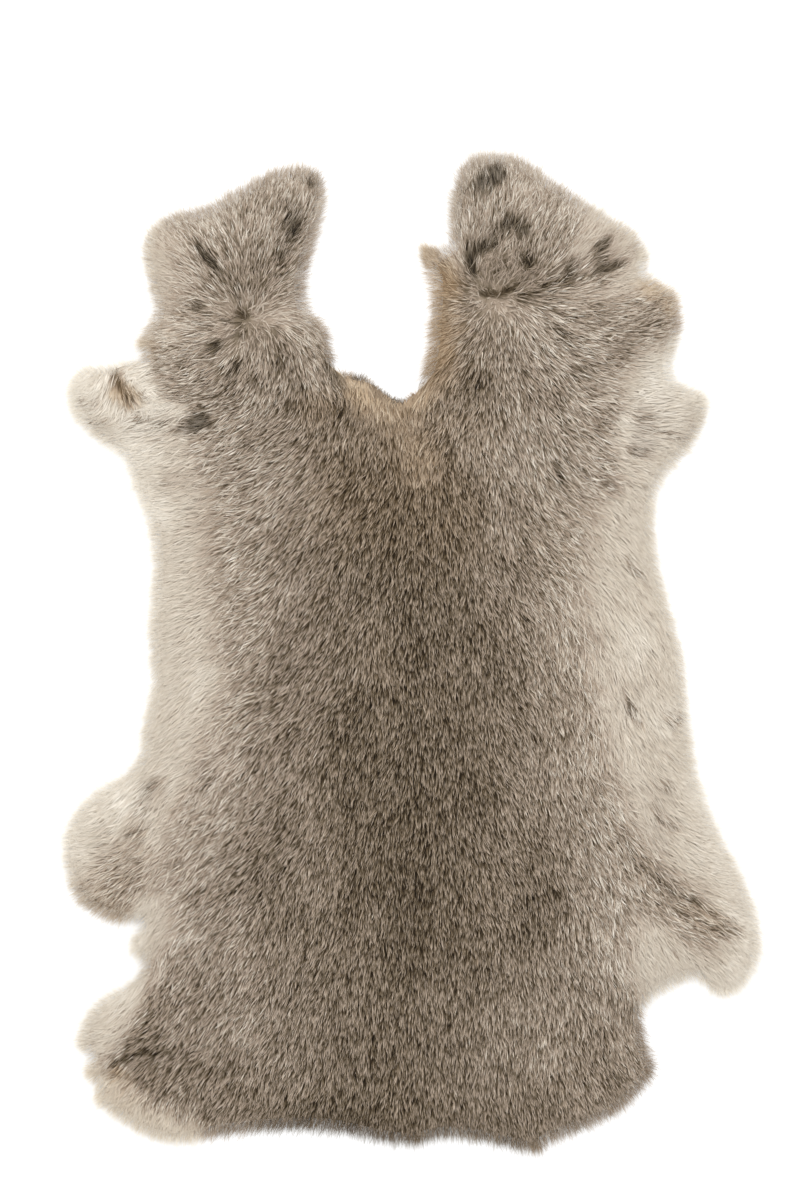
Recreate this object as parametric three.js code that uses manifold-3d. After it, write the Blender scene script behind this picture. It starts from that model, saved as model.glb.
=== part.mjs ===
// A tanned rabbit skin pelt, laid flat with the fur side up and the head end towards +Y.
// Millimetres, +Z up. The skin rests on z = 0, and the origin lies under the middle of the pelt.
import * as THREE from "three";
import { mergeVertices } from "three/addons/utils/BufferGeometryUtils.js";
import Module from "manifold-3d";

const wasm = await Module();
wasm.setup();

// Driving sizes
const coatLoft = 15; // height of the fur on the back
const rimHeight = 3.5; // height of the fur at the rim
const rimRounding = 26; // distance from the rim at which the coat has its full height
const fuzzReach = 2; // distance from the rim to the line where the fuzz looks half as thick
const gridPitch = 6.8; // spacing of the points of the upper face
const rimStep = 7; // longest straight stretch of the rim
const lock = {
  pitch: 8, // spacing along the rim
  reach: 5.4, // length past the rim, for a lock of middling size
  unevenness: 0.15, // share by which a lock may be longer or shorter
  root: 3, // depth inside the rim
  width: 6.2,
  height: 2.9,
  lean: 0.6, // how far a tip is drawn towards the tail, as a share of its reach
  clearance: 3.6, // room between a tip and the rim or another lock
};
// The skin is cut short across the neck, so no locks hang over the rim inside these limits
const neckCut = { left: -31, right: -1, low: 96, high: 114 };
// Uneven tufts of the coat, the larger ones with smaller ones on them
const tufts = [
  { size: 27, height: 2.4 },
  { size: 15, height: 1.6 },
];

// Edge of the fur, anticlockwise from the tip of the left shoulder. Each point is [x, y].
const edge = {
  leftShoulder: [
    [-34, 186], [-38, 191.5], [-45, 193.8], [-56, 191.5], [-68, 185], [-82, 177.5],
    [-95, 174.5], [-104, 168.5], [-107, 160], [-104.5, 149], [-101.5, 137],
  ],
  leftForeleg: [
    [-106, 129.5], [-109, 123.5], [-108, 117], [-121, 114.5], [-133, 112.5], [-136.5, 104],
    [-134.5, 94], [-127, 85.5], [-115, 76.5], [-110.5, 65],
  ],
  leftFlank: [
    [-105, 50], [-103, 34], [-105, 8], [-104, -15], [-107.5, -31], [-108.5, -41.5],
  ],
  leftHindLeg: [
    [-115, -50], [-129, -58.5], [-138, -72], [-138.5, -87], [-131.5, -100.5], [-118, -108],
    [-109.5, -110],
  ],
  leftRump: [
    [-112.8, -118.5], [-108, -125.5], [-112, -133.5], [-124, -139.5], [-132, -150],
    [-133, -158.5], [-129.5, -163], [-130.5, -169], [-126.8, -174.5], [-125.5, -181.5],
    [-115, -189.5], [-103, -196], [-90, -197.3],
  ],
  tailEnd: [
    [-76, -194.3], [-55, -192], [-33, -192], [-17, -195.8], [0, -199], [12, -196],
    [26, -196.5], [50, -201], [56.5, -197.5], [72, -192], [86, -184.5], [95, -174],
  ],
  rightRump: [
    [98, -167], [94, -157], [94, -143.5], [104, -135.8], [114.5, -132.2], [124, -138.8],
    [134, -134.5], [140, -121], [138.5, -107], [133, -91],
  ],
  rightFlank: [
    [123, -71], [115.5, -51], [111.5, -24], [109, 0], [103.5, 18], [99, 38], [98, 55],
  ],
  rightForeleg: [
    [101.5, 68], [111.5, 80], [118, 93.5], [117, 103], [107, 108.5], [105.3, 116],
    [108.8, 129], [106, 143], [95.5, 151],
  ],
  rightShoulder: [
    [95.5, 158], [88.5, 169], [73, 178], [56, 189], [43, 197.5], [33, 199.8], [23.5, 196.5],
    [18, 187.5], [16, 175], [15, 162],
  ],
  neck: [
    [5.5, 161.5], [4.8, 155.5], [9.8, 148.5], [8.5, 135], [6.5, 117], [2, 104],
    [-5, 100.3], [-17, 108], [-26, 107.5], [-30.5, 117.5], [-33, 128], [-41, 138.5],
    [-41, 152], [-35.5, 173],
  ],
};

// Folds, creases and partings of the coat. Each rises by `rise` along its path, or sinks if negative.
const folds = [
  { name: "back", rise: 2.5, width: 42, path: [[0, 60], [6, -40], [4, -185]] },
  { name: "left flank", rise: -3, width: 24, path: [[-96, 60], [-94, -5], [-98, -60]] },
  { name: "right flank", rise: -3, width: 24, path: [[90, 50], [95, -10], [106, -70]] },
  { name: "left foreleg skin", rise: -4, width: 15, path: [[-122, 104], [-106, 90]] },
  { name: "left shoulder roll", rise: 2, width: 12, path: [[-101, 128], [-98, 112], [-84, 102]] },
  { name: "left hind leg", rise: -3, width: 20, path: [[-122, -66], [-118, -92]] },
  { name: "left whirl", rise: -5, width: 8, path: [[-66, 131], [-65, 134]] },
  { name: "left parting", rise: -3, width: 6, path: [[-46, 180], [-47, 168], [-53, 155]] },
  { name: "rump crease", rise: -6, width: 6, path: [[-124, -169], [-112, -163], [-97, -161]] },
  { name: "rump corner", rise: 2, width: 8, path: [[-108, -174], [-95, -170]] },
  { name: "right parting", rise: -4, width: 8, path: [[27, 142], [60, 146], [88, 153]] },
  { name: "right hook", rise: -3, width: 6, path: [[33, 162], [26, 158], [27, 150]] },
  { name: "right curl", rise: 3.5, width: 10, path: [[80, 124], [94, 135], [104, 134]] },
  { name: "right foreleg skin", rise: -4, width: 14, path: [[98, 112], [104, 92]] },
  { name: "right crease", rise: -3.5, width: 7, path: [[60, 74], [64, 64]] },
  { name: "neck roll", rise: 2, width: 10, path: [[-20, 92], [-4, 90]] },
  { name: "neck crease", rise: -3, width: 5, path: [[-33, 112], [-25, 103]] },
  { name: "right hind leg", rise: -2.5, width: 18, path: [[108, -92], [128, -120]] },
];

// Closed smooth curve through all the points of the edge, drawn in from the fuzz to the rim
function rimOutline() {
  const points = Object.values(edge).flat().map(([x, y]) => new THREE.Vector3(x, y, 0));
  const curve = new THREE.CatmullRomCurve3(points, true, "catmullrom", 0.5);
  const outline = [];
  points.forEach((point, i) => {
    const chord = point.distanceTo(points[(i + 1) % points.length]);
    const steps = Math.ceil(chord / rimStep);
    for (let k = 0; k < steps; k += 1) {
      const at = (i + k / steps) / points.length;
      const along = curve.getTangent(at);
      const inward = new THREE.Vector2(-along.y, along.x).normalize();
      const onCurve = curve.getPoint(at);
      outline.push(new THREE.Vector2(onCurve.x, onCurve.y).addScaledVector(inward, fuzzReach));
    }
  });
  return outline;
}

function distanceToSegment(x, y, ax, ay, bx, by) {
  const dx = bx - ax;
  const dy = by - ay;
  const share = ((x - ax) * dx + (y - ay) * dy) / (dx * dx + dy * dy);
  const t = THREE.MathUtils.clamp(share, 0, 1);
  return Math.hypot(x - ax - t * dx, y - ay - t * dy);
}

function distanceToPath(x, y, path) {
  let nearest = Infinity;
  for (let i = 1; i < path.length; i += 1) {
    nearest = Math.min(nearest, distanceToSegment(x, y, ...path[i - 1], ...path[i]));
  }
  return nearest;
}

// Distance to the rim, positive inside the pelt
function depthInside(x, y, outline) {
  let nearest = Infinity;
  let inside = false;
  outline.forEach((b, i) => {
    const a = outline[(i + outline.length - 1) % outline.length];
    nearest = Math.min(nearest, distanceToSegment(x, y, a.x, a.y, b.x, b.y));
    if (a.y > y !== b.y > y && x < a.x + ((y - a.y) * (b.x - a.x)) / (b.y - a.y)) {
      inside = !inside;
    }
  });
  return inside ? nearest : -nearest;
}

// A chance value from 0 to 1 for each corner of a square grid, blended smoothly inside its squares
function unevenness(u, v) {
  const column = Math.floor(u);
  const row = Math.floor(v);
  const chance = (i, j) => {
    const spread = Math.sin(12.9898 * (column + i) + 78.233 * (row + j)) * 43758.5453;
    return spread - Math.floor(spread);
  };
  const right = THREE.MathUtils.smoothstep(u - column, 0, 1);
  const up = THREE.MathUtils.smoothstep(v - row, 0, 1);
  const lower = THREE.MathUtils.lerp(chance(0, 0), chance(1, 0), right);
  const upper = THREE.MathUtils.lerp(chance(0, 1), chance(1, 1), right);
  return THREE.MathUtils.lerp(lower, upper, up);
}

// Height of the coat: rounded down to the rim, with its folds and tufts fading out there
function coatHeight(x, y, outline) {
  const depth = depthInside(x, y, outline);
  const share = THREE.MathUtils.clamp(depth / rimRounding, -0.5, 1);
  const rounded = share * (2 - Math.abs(share));
  const relief = THREE.MathUtils.smoothstep(depth, 0, rimRounding / 2);
  let height = rimHeight + (coatLoft - rimHeight) * rounded;
  for (const fold of folds) {
    height += relief * fold.rise * Math.exp(-((distanceToPath(x, y, fold.path) / fold.width) ** 2));
  }
  for (const tuft of tufts) {
    height += relief * tuft.height * (unevenness(x / tuft.size, y / tuft.size) - 0.5);
  }
  return Math.max(height, rimHeight / 2);
}

// A block with the coat's upper face, wider than the pelt and reaching below its skin
function coatBlock(outline) {
  const box = new THREE.Box2().setFromPoints(outline).expandByScalar(gridPitch);
  const columns = Math.ceil((box.max.x - box.min.x) / gridPitch);
  const rows = Math.ceil((box.max.y - box.min.y) / gridPitch);
  const below = -gridPitch;
  const positions = [];
  const faces = [];
  for (let row = 0; row <= rows; row += 1) {
    for (let column = 0; column <= columns; column += 1) {
      const x = box.min.x + column * gridPitch;
      const y = box.min.y + row * gridPitch;
      positions.push(x, y, coatHeight(x, y, outline));
    }
  }
  const at = (column, row) => row * (columns + 1) + column;
  for (let row = 0; row < rows; row += 1) {
    for (let column = 0; column < columns; column += 1) {
      const corner = at(column, row);
      const opposite = at(column + 1, row + 1);
      faces.push(corner, at(column + 1, row), opposite, corner, opposite, at(column, row + 1));
    }
  }
  const around = [];
  for (let column = 0; column < columns; column += 1) around.push(at(column, 0));
  for (let row = 0; row < rows; row += 1) around.push(at(columns, row));
  for (let column = columns; column > 0; column -= 1) around.push(at(column, rows));
  for (let row = rows; row > 0; row -= 1) around.push(at(0, row));
  const firstBelow = positions.length / 3;
  for (const top of around) positions.push(positions[3 * top], positions[3 * top + 1], below);
  const middle = positions.length / 3;
  positions.push((box.min.x + box.max.x) / 2, (box.min.y + box.max.y) / 2, below);
  around.forEach((top, i) => {
    const next = (i + 1) % around.length;
    faces.push(top, firstBelow + i, firstBelow + next, top, firstBelow + next, around[next]);
    faces.push(firstBelow + i, middle, firstBelow + next);
  });
  return solidFrom(positions, faces);
}

// The pelt's outline as a straight-sided slab standing on z = 0
function outlineBlock(outline) {
  const depth = 2 * coatLoft;
  const geometry = new THREE.ExtrudeGeometry(new THREE.Shape(outline), { depth, bevelEnabled: false });
  geometry.deleteAttribute("normal");
  geometry.deleteAttribute("uv");
  const merged = mergeVertices(geometry);
  return solidFrom(merged.attributes.position.array, merged.index.array);
}

// A tapering lock of fur with three sides, flat on z = 0, rooted in the rim at (x, y)
function rimLock(x, y, outward, bend, reach) {
  const side = new THREE.Vector2(-outward.y, outward.x);
  const stations = [
    { along: -lock.root, width: lock.width, height: lock.height, bend: 0 },
    { along: 0.5 * reach, width: 0.72 * lock.width, height: 0.7 * lock.height, bend: 0.3 * bend },
  ];
  const positions = [];
  for (const station of stations) {
    const middleX = x + outward.x * station.along + side.x * station.bend;
    const middleY = y + outward.y * station.along + side.y * station.bend;
    const half = station.width / 2;
    positions.push(middleX - side.x * half, middleY - side.y * half, 0);
    positions.push(middleX + side.x * half, middleY + side.y * half, 0);
    positions.push(middleX, middleY, station.height);
  }
  const tip = [x + outward.x * reach + side.x * bend, y + outward.y * reach + side.y * bend];
  positions.push(...tip, 0);
  const faces = [0, 2, 1];
  for (let corner = 0; corner < 3; corner += 1) {
    const next = (corner + 1) % 3;
    faces.push(corner, next, next + 3, corner, next + 3, corner + 3);
    faces.push(corner + 3, next + 3, 6);
  }
  return { solid: solidFrom(positions, faces), root: [x, y], tip };
}

function isNeckCut({ x, y }) {
  return x > neckCut.left && x < neckCut.right && y > neckCut.low && y < neckCut.high;
}

function locksTouch(one, other) {
  const oneTip = distanceToSegment(...one.tip, ...other.root, ...other.tip);
  const otherTip = distanceToSegment(...other.tip, ...one.root, ...one.tip);
  return Math.min(oneTip, otherTip) < lock.clearance;
}

// Locks along the rim, leaning towards the tail, left out where they would run into the rim or a neighbour
function rimLocks(outline) {
  const rim = new THREE.Path([...outline, outline[0]]);
  const count = Math.floor(rim.getLength() / lock.pitch);
  const points = rim.getSpacedPoints(count);
  const locks = [];
  for (let i = 0; i < count; i += 1) {
    const point = points[i];
    const along = points[(i + 1) % count].clone().sub(points[(i + count - 1) % count]).normalize();
    const outward = new THREE.Vector2(along.y, -along.x);
    const chance = unevenness(i + 0.5, 0.5);
    const reach = lock.reach * THREE.MathUtils.lerp(1 - lock.unevenness, 1 + lock.unevenness, chance);
    const bend = -lock.lean * lock.reach * outward.x;
    const made = rimLock(point.x, point.y, outward, bend, reach);
    const crowded = locks.some((other) => locksTouch(made, other));
    const free = depthInside(...made.tip, outline) < -lock.clearance;
    if (free && !crowded && !isNeckCut(point)) locks.push(made);
  }
  return locks.map((made) => made.solid);
}

function solidFrom(positions, faces) {
  const mesh = new wasm.Mesh({
    numProp: 3,
    vertProperties: Float32Array.from(positions),
    triVerts: Uint32Array.from(faces),
  });
  return new wasm.Manifold(mesh);
}

function geometryFrom(solid) {
  const mesh = solid.getMesh();
  const geometry = new THREE.BufferGeometry();
  geometry.setAttribute("position", new THREE.BufferAttribute(mesh.vertProperties, 3));
  geometry.setIndex(new THREE.BufferAttribute(mesh.triVerts, 1));
  return geometry;
}

const outline = rimOutline();
const slab = coatBlock(outline).intersect(outlineBlock(outline));
const pelt = rimLocks(outline).reduce((whole, part) => whole.add(part), slab);
const geometry = geometryFrom(pelt);
geometry.computeBoundingBox();
const middle = geometry.boundingBox.getCenter(new THREE.Vector3());
geometry.translate(-middle.x, -middle.y, -geometry.boundingBox.min.z);
geometry.computeVertexNormals();

const fur = new THREE.MeshStandardMaterial({ color: "#a39482", roughness: 0.95, metalness: 0 });
const peltMesh = new THREE.Mesh(geometry, fur);
peltMesh.name = "pelt";

const rabbitPelt = new THREE.Group();
rabbitPelt.add(peltMesh);

export default rabbitPelt;
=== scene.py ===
import math

import bmesh
import bpy
import numpy as np
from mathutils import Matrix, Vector
from mathutils.bvhtree import BVHTree


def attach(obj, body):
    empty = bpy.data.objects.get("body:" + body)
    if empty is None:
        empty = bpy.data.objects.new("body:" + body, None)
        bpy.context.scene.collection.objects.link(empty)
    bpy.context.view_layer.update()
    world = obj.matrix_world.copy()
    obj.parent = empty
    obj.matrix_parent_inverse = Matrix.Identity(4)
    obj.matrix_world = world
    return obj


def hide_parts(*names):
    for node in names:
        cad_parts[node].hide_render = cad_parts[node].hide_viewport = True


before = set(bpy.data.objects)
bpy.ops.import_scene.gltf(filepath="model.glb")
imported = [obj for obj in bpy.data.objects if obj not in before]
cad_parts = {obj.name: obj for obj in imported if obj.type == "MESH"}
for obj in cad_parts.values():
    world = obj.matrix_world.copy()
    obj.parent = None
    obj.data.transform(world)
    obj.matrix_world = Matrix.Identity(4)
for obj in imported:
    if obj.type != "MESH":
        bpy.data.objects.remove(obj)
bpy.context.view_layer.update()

mm = 0.001  # every size below is in millimetres and turns to metres as a mesh is written

# The pelt's edge, read off in millimetres, anticlockwise from the tip of the left shoulder flap.
edge = {
    "leftShoulder": [(-34, 186), (-38, 191.5), (-45, 193.8), (-56, 191.5), (-68, 185), (-82, 177.5),
        (-95, 174.5), (-104, 168.5), (-107, 160), (-105.3, 149), (-102.5, 137)],
    "leftForeleg": [(-106, 129.5), (-109, 123.5), (-108, 117), (-121, 114.5), (-133, 112.5),
        (-137.3, 104), (-135.2, 94), (-127, 85.5), (-115, 76.5), (-110.5, 65)],
    "leftFlank": [(-105, 50), (-103, 34), (-105, 8), (-104, -15), (-107.5, -31), (-108.5, -41.5)],
    "leftHindLeg": [(-115, -50), (-129, -58.5), (-138, -72), (-138.5, -87), (-132.3, -101.5),
        (-118.5, -109), (-109.5, -110)],
    "leftRump": [(-112.8, -118.5), (-108, -125.5), (-112, -133.5), (-124, -139.5), (-132, -150),
        (-133, -158.5), (-129.5, -163), (-130.5, -169), (-126.8, -174.5), (-125.5, -181.5),
        (-115, -189.5), (-103, -196), (-90, -197.3)],
    "tailEnd": [(-76, -194.3), (-55, -192), (-33, -192), (-17, -195.2), (0, -197.8), (12, -195.2),
        (26, -195.8), (50, -201), (56.5, -196.8), (71.5, -191), (85.3, -183.6), (94.4, -173.5)],
    "rightRump": [(98, -167), (94, -157), (94, -143.5), (104, -135.8), (114.5, -132.2), (124, -138.8),
        (134, -134.5), (140.6, -121), (139.2, -107), (133.4, -91)],
    "rightFlank": [(123, -71), (115.5, -51), (111.5, -24), (109, 0), (103.5, 18), (99, 38), (98, 55)],
    "rightForeleg": [(101.5, 68), (111.5, 80), (118.8, 93.5), (117.6, 103), (107, 108.5), (105.3, 116),
        (108.8, 129), (106, 143), (95.5, 151)],
    "rightShoulder": [(95.5, 158), (88.5, 169), (73, 178), (56, 189), (43, 197.5), (33, 199),
        (23.5, 196.5), (18, 187.5), (16, 175), (15, 162)],
    "neck": [(5.5, 161.5), (4.8, 155.5), (8.5, 148.5), (8.3, 135), (6.5, 117), (2, 104), (-5, 100.3),
        (-17, 108), (-25.5, 110), (-31, 117.5), (-33, 128), (-41, 138.5), (-41, 152), (-35.5, 173)],
}
toRow = np.array([-0.548, 0.767])  # the middle of the CAD box, set against the readings above
neckCut = [(-28, 110), (-17, 107.7), (-5, 100), (2, 103)]  # the knife's cut across the neck
neckCutReach = 14

fieldLow = (-152, -212)   # corner of the working fields, one value each millimetre
fieldHigh = (152, 212)
fieldX, fieldY = np.meshgrid(
    np.arange(fieldLow[0], fieldHigh[0] + 1.0),
    np.arange(fieldLow[1], fieldHigh[1] + 1.0),
)


def smooth(t):
    t = np.clip(t, 0, 1)
    return t * t * (3 - 2 * t)


def fourCorners(grid, i, j, a, b):
    # a value between the corners of a cell, a and b of the way across it
    low = grid[j, i] * (1 - a) + grid[j, i + 1] * a
    high = grid[j + 1, i] * (1 - a) + grid[j + 1, i + 1] * a
    return low * (1 - b) + high * b


def sample(grid, x, y):
    # reads a field between its millimetres
    u = np.clip(x - fieldLow[0], 0, grid.shape[1] - 1.001)
    v = np.clip(y - fieldLow[1], 0, grid.shape[0] - 1.001)
    i = u.astype(int)
    j = v.astype(int)
    return fourCorners(grid, i, j, u - i, v - j)


def samplePair(fields, places):
    return np.stack([sample(field, *places) for field in fields])


# A place or a way from here on is a pair: all the x values, then all the y values.
def unit(way):
    return way / (np.hypot(*way) + 1e-9)


def turned(way, degrees):
    angle = np.radians(degrees)
    return np.stack([
        way[0] * np.cos(angle) - way[1] * np.sin(angle),
        way[0] * np.sin(angle) + way[1] * np.cos(angle),
    ])


def softNoise(x, y, cell, seed):
    # rolling hills from -1 to 1, a cell wide
    lattice = np.random.default_rng(seed).uniform(-1, 1, (160, 160))
    u = np.asarray(x) / cell + 70.37
    v = np.asarray(y) / cell + 70.71
    i = np.floor(u).astype(int) % 158
    j = np.floor(v).astype(int) % 158
    return fourCorners(lattice, i, j, smooth(u - np.floor(u)), smooth(v - np.floor(v)))


def edgeLine(perSpan=4):
    # one smooth closed line through the readings
    points = np.array([p for stretch in edge.values() for p in stretch]) + toRow
    before = np.roll(points, 1, axis=0)
    after = np.roll(points, -1, axis=0)
    later = np.roll(points, -2, axis=0)
    spans = []
    for step in range(perSpan):
        t = step / perSpan
        spans.append(0.5 * (
            2 * points + (after - before) * t
            + (2 * before - 5 * points + 4 * after - later) * t ** 2
            + (3 * points - before - 3 * after + later) * t ** 3
        ))
    return np.stack(spans, axis=1).reshape(-1, 2)


def distanceTo(path, x, y, closed=False):
    points = np.asarray(path, float)
    ends = np.roll(points, -1, axis=0)
    if not closed:
        points = points[:-1] if len(points) > 1 else points
        ends = ends[:-1] if len(ends) > 1 else ends
    best = np.full(np.shape(x), 1e9)
    for (ax, ay), (bx, by) in zip(points, ends):
        spanX = bx - ax
        spanY = by - ay
        t = ((x - ax) * spanX + (y - ay) * spanY) / max(spanX ** 2 + spanY ** 2, 1e-9)
        t = np.clip(t, 0, 1)
        best = np.minimum(best, (x - ax - t * spanX) ** 2 + (y - ay - t * spanY) ** 2)
    return np.sqrt(best)


def depthIn(shape, x, y):
    # how far inside a closed line a place lies, less than nothing outside it
    points = np.asarray(shape, float)
    inside = np.zeros(np.shape(x), bool)
    for (ax, ay), (bx, by) in zip(points, np.roll(points, -1, axis=0)):
        crosses = (ay > y) != (by > y)
        reach = ax + (y - ay) * (bx - ax) / (by - ay if by != ay else 1e-9)
        inside ^= crosses & (x < reach)
    return np.where(inside, 1, -1) * distanceTo(points, x, y, closed=True)


outline = edgeLine()
edgeDepth = depthIn(outline, fieldX, fieldY)
nearCut = smooth(1 - distanceTo(np.array(neckCut) + toRow, fieldX, fieldY) / neckCutReach)
slope = np.gradient(edgeDepth)[::-1]
print("edge line:", len(outline), "points")


def coatTop():
    # height of the CAD solid's upper face over each millimetre, smoothed over its facets
    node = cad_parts["pelt"]
    corners = [v.co.copy() for v in node.data.vertices]
    faces = [list(f.vertices) for f in node.data.polygons]
    tree = BVHTree.FromPolygons(corners, faces)
    down = Vector((0, 0, -1))
    top = np.zeros(fieldX.shape)
    for j, i in zip(*np.nonzero(edgeDepth > -1)):
        hit = tree.ray_cast(Vector((fieldX[j, i] * mm, fieldY[j, i] * mm, 1)), down)[0]
        top[j, i] = hit.z / mm if hit else 0
    bare = (top == 0) & (edgeDepth > -1)
    top[bare] = 3.0
    for _ in range(3):
        spread = np.pad(top, 1, mode="edge")
        top = (
            spread[:-2, 1:-1] + spread[2:, 1:-1] + spread[1:-1, :-2] + spread[1:-1, 2:] + 4 * top
        ) / 8
    return top


surface = coatTop()
print("CAD solid read: highest point", round(float(surface.max()), 1), "mm")

# The hair's lie: x, y and the way the tips point, in degrees.
# The tail end is 0, right 90, left -90 and the head end 180.
comb = {
    "leftShoulderTop": [(-66, 150, 180), (-60, 170, 175), (-55, 160, 165), (-47, 175, 168),
        (-45, 185, 180), (-38, 185, 150), (-40, 165, 135), (-42, 155, 115), (-45, 140, 95),
        (-40, 130, 60), (-50, 125, 25), (-60, 118, 0), (-80, 165, -150), (-95, 168, -140),
        (-100, 155, -115), (-95, 145, -100), (-80, 150, -130)],
    "leftShoulderFoot": [(-85, 135, -95), (-100, 130, -90), (-95, 118, -80), (-90, 110, -80),
        (-75, 120, -70), (-66, 115, -30), (-55, 110, -20), (-75, 105, -70), (-60, 95, -50),
        (-85, 95, -75), (-35, 120, 5), (-30, 112, 20), (-20, 98, -10), (-5, 92, 5)],
    "leftForeleg": [(-120, 105, -95), (-130, 95, -75), (-110, 90, -80), (-100, 75, -80), (-100, 60, -85)],
    "leftFlank": [(-100, 40, -83), (-95, 20, -70), (-95, 0, -60), (-95, -20, -50), (-100, -35, -60),
        (-85, -40, -55), (-75, 60, -75), (-62, 80, -60), (-70, 20, -60), (-70, 0, -55), (-70, -20, -50)],
    "leftHindLeg": [(-125, -60, -80), (-130, -80, -85), (-115, -75, -65), (-125, -95, -60),
        (-105, -60, -45), (-95, -65, -50), (-100, -85, -50), (-110, -100, -40), (-80, -70, -50),
        (-65, -60, -40)],
    "leftRump": [(-105, -115, -45), (-95, -120, -35), (-90, -105, -45), (-75, -100, -45),
        (-70, -125, -28), (-95, -140, -35), (-120, -145, -75), (-128, -155, -80), (-105, -150, -45),
        (-85, -150, -38), (-65, -150, -28), (-110, -158, -55), (-105, -168, -30), (-120, -175, -50),
        (-110, -185, -30), (-100, -190, -15), (-90, -192, -8)],
    "tailEnd": [(-75, -185, -25), (-60, -185, -22), (-45, -185, -18), (-30, -185, -12), (-10, -188, -5),
        (5, -190, 0), (20, -188, 3), (40, -190, 8), (50, -195, 5), (60, -188, 20), (75, -180, 30),
        (85, -172, 35), (93, -168, 45)],
    "back": [(0, 50, -5), (-20, 60, -25), (-40, 60, -40), (-20, 20, -15), (-40, 20, -30), (-50, 0, -35),
        (-50, -50, -30), (-40, -100, -15), (-30, -50, -15), (0, 0, 0), (0, -100, 0), (20, 0, 5),
        (30, 60, 10), (20, 90, -5), (-20, -130, -8), (-45, -130, -18), (-20, -165, -8), (-50, -165, -18),
        (30, -130, 0), (30, -165, 3), (65, -170, 10), (60, -150, 5)],
    "rightShoulderFoot": [(15, 140, -80), (15, 120, -65), (20, 105, -30), (10, 90, -20), (25, 135, -60),
        (30, 110, -5), (35, 130, -10), (45, 128, 20), (40, 100, 15), (50, 110, 30), (55, 130, 55),
        (60, 120, 50), (45, 80, 20), (60, 85, 40), (65, 135, 75), (70, 140, 85), (80, 140, 95),
        (90, 140, 110), (100, 140, 120), (100, 130, 105), (90, 130, 100), (80, 128, 90), (70, 125, 70),
        (95, 122, 95), (75, 100, 65), (70, 80, 58), (75, 70, 65)],
    "rightShoulderTop": [(12, 150, -110), (15, 165, -160), (30, 150, 170), (25, 175, 180),
        (18, 180, -170), (35, 190, 180), (50, 185, 170), (50, 160, 165), (60, 175, 160), (65, 155, 150),
        (75, 168, 150), (85, 160, 130), (92, 155, 110)],
    "rightForeleg": [(100, 110, 95), (92, 105, 95), (110, 100, 105), (115, 100, 115), (95, 95, 95),
        (108, 90, 80), (112, 85, 70), (92, 80, 90), (100, 80, 65), (95, 72, 50), (85, 70, 60)],
    "rightFlank": [(75, 55, 50), (85, 55, 45), (95, 55, 35), (70, 40, 50), (85, 40, 45), (90, 35, 45),
        (95, 25, 45), (80, 20, 35), (70, 20, 30), (95, 10, 28), (80, 0, 20), (70, 0, 20), (60, 0, 15),
        (90, -10, 22), (100, -10, 30), (105, -15, 60), (105, -30, 72), (110, -40, 80), (95, -30, 25),
        (85, -30, 20), (70, -30, 8), (90, -50, 35), (105, -50, 50), (110, -60, 80), (115, -70, 85),
        (100, -65, 40), (85, -65, 35), (75, -60, 35), (60, -60, 12), (105, -80, 65), (115, -80, 80),
        (95, -85, 35), (85, -85, 28), (70, -85, 18), (125, -90, 85)],
    "rightHindLeg": [(100, -95, 45), (110, -100, 60), (120, -105, 68), (130, -108, 75), (110, -110, 60),
        (120, -115, 60), (135, -120, 60), (130, -130, 45), (122, -133, 35), (115, -125, 40),
        (105, -125, 35), (95, -120, 28), (90, -130, 20), (100, -133, 30), (85, -110, 22), (75, -110, 15),
        (60, -110, 5), (85, -140, 8), (85, -155, 12), (92, -160, 25)],
}
# Closer guides round the two whirls, the parting over the right one and the curl above that.
fineComb = {
    "leftWhirl": [(-67, 137, -172), (-62, 137, 170), (-58, 137, 140), (-55, 138, 115), (-50, 138, 100),
        (-58, 133, 95), (-52, 134, 80), (-46, 133, 65), (-60, 127, 40), (-53, 126, 35), (-65, 126, 0),
        (-62, 121, 15), (-68, 127, -45), (-71, 124, -62), (-71, 131, -97), (-78, 131, -98),
        (-74, 136, -125), (-70, 141, -158), (-77, 126, -82), (-66, 118, -20)],
    "rightWhirl": [(20, 133, -80), (24, 138, -78), (27, 129, -50), (31, 134, -15), (35, 128, 0),
        (38, 134, 15), (44, 132, 42), (51, 133, 60), (55, 128, 65), (60, 138, 98), (66, 133, 85),
        (42, 139, 60), (50, 139, 88), (28, 139, -65)],
    "parting": [(56, 143, 105), (65, 145, 105), (30, 144, 170), (37, 145, 150), (45, 146, 150),
        (52, 148, 140), (60, 149, 125), (66, 151, 145), (20, 148, -160), (22, 143, -130)],
    "forelegComma": [(-119, 110, 10), (-117, 106, 25), (-115, 103, 40), (-112, 101.5, 60),
        (-107, 101, 80), (-122, 108, -60), (-120, 103, -50), (-116, 99, -40), (-111, 97, -50),
        (-114, 108, 60)],
    "curl": [(28, 157, 150), (40, 153, 165), (50, 156, 160), (60, 158, 155)],
}

# x, y and reach of shorter, tangled hair
whirls = [(-65, 131.5, 15), (33, 140, 13), (33, 152, 13), (46, 149, 9), (-115, 105, 4)]


def tangled(places, wider=1.0):
    # 1 at the middle of a whirl, 0 away from all of them
    near = np.zeros(places.shape[1])
    for *middle, reach in whirls:
        away = np.hypot(*(places.T - middle - toRow).T)
        near = np.maximum(near, smooth(1.15 - away / (reach * wider)))
    return near


guide = {
    "reach": 7.5,
    "fineReach": 3.4,
    "far": [(26, 0.01), (90, 1e-4)],  # reach and share of its weaker pull beyond
}


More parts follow.
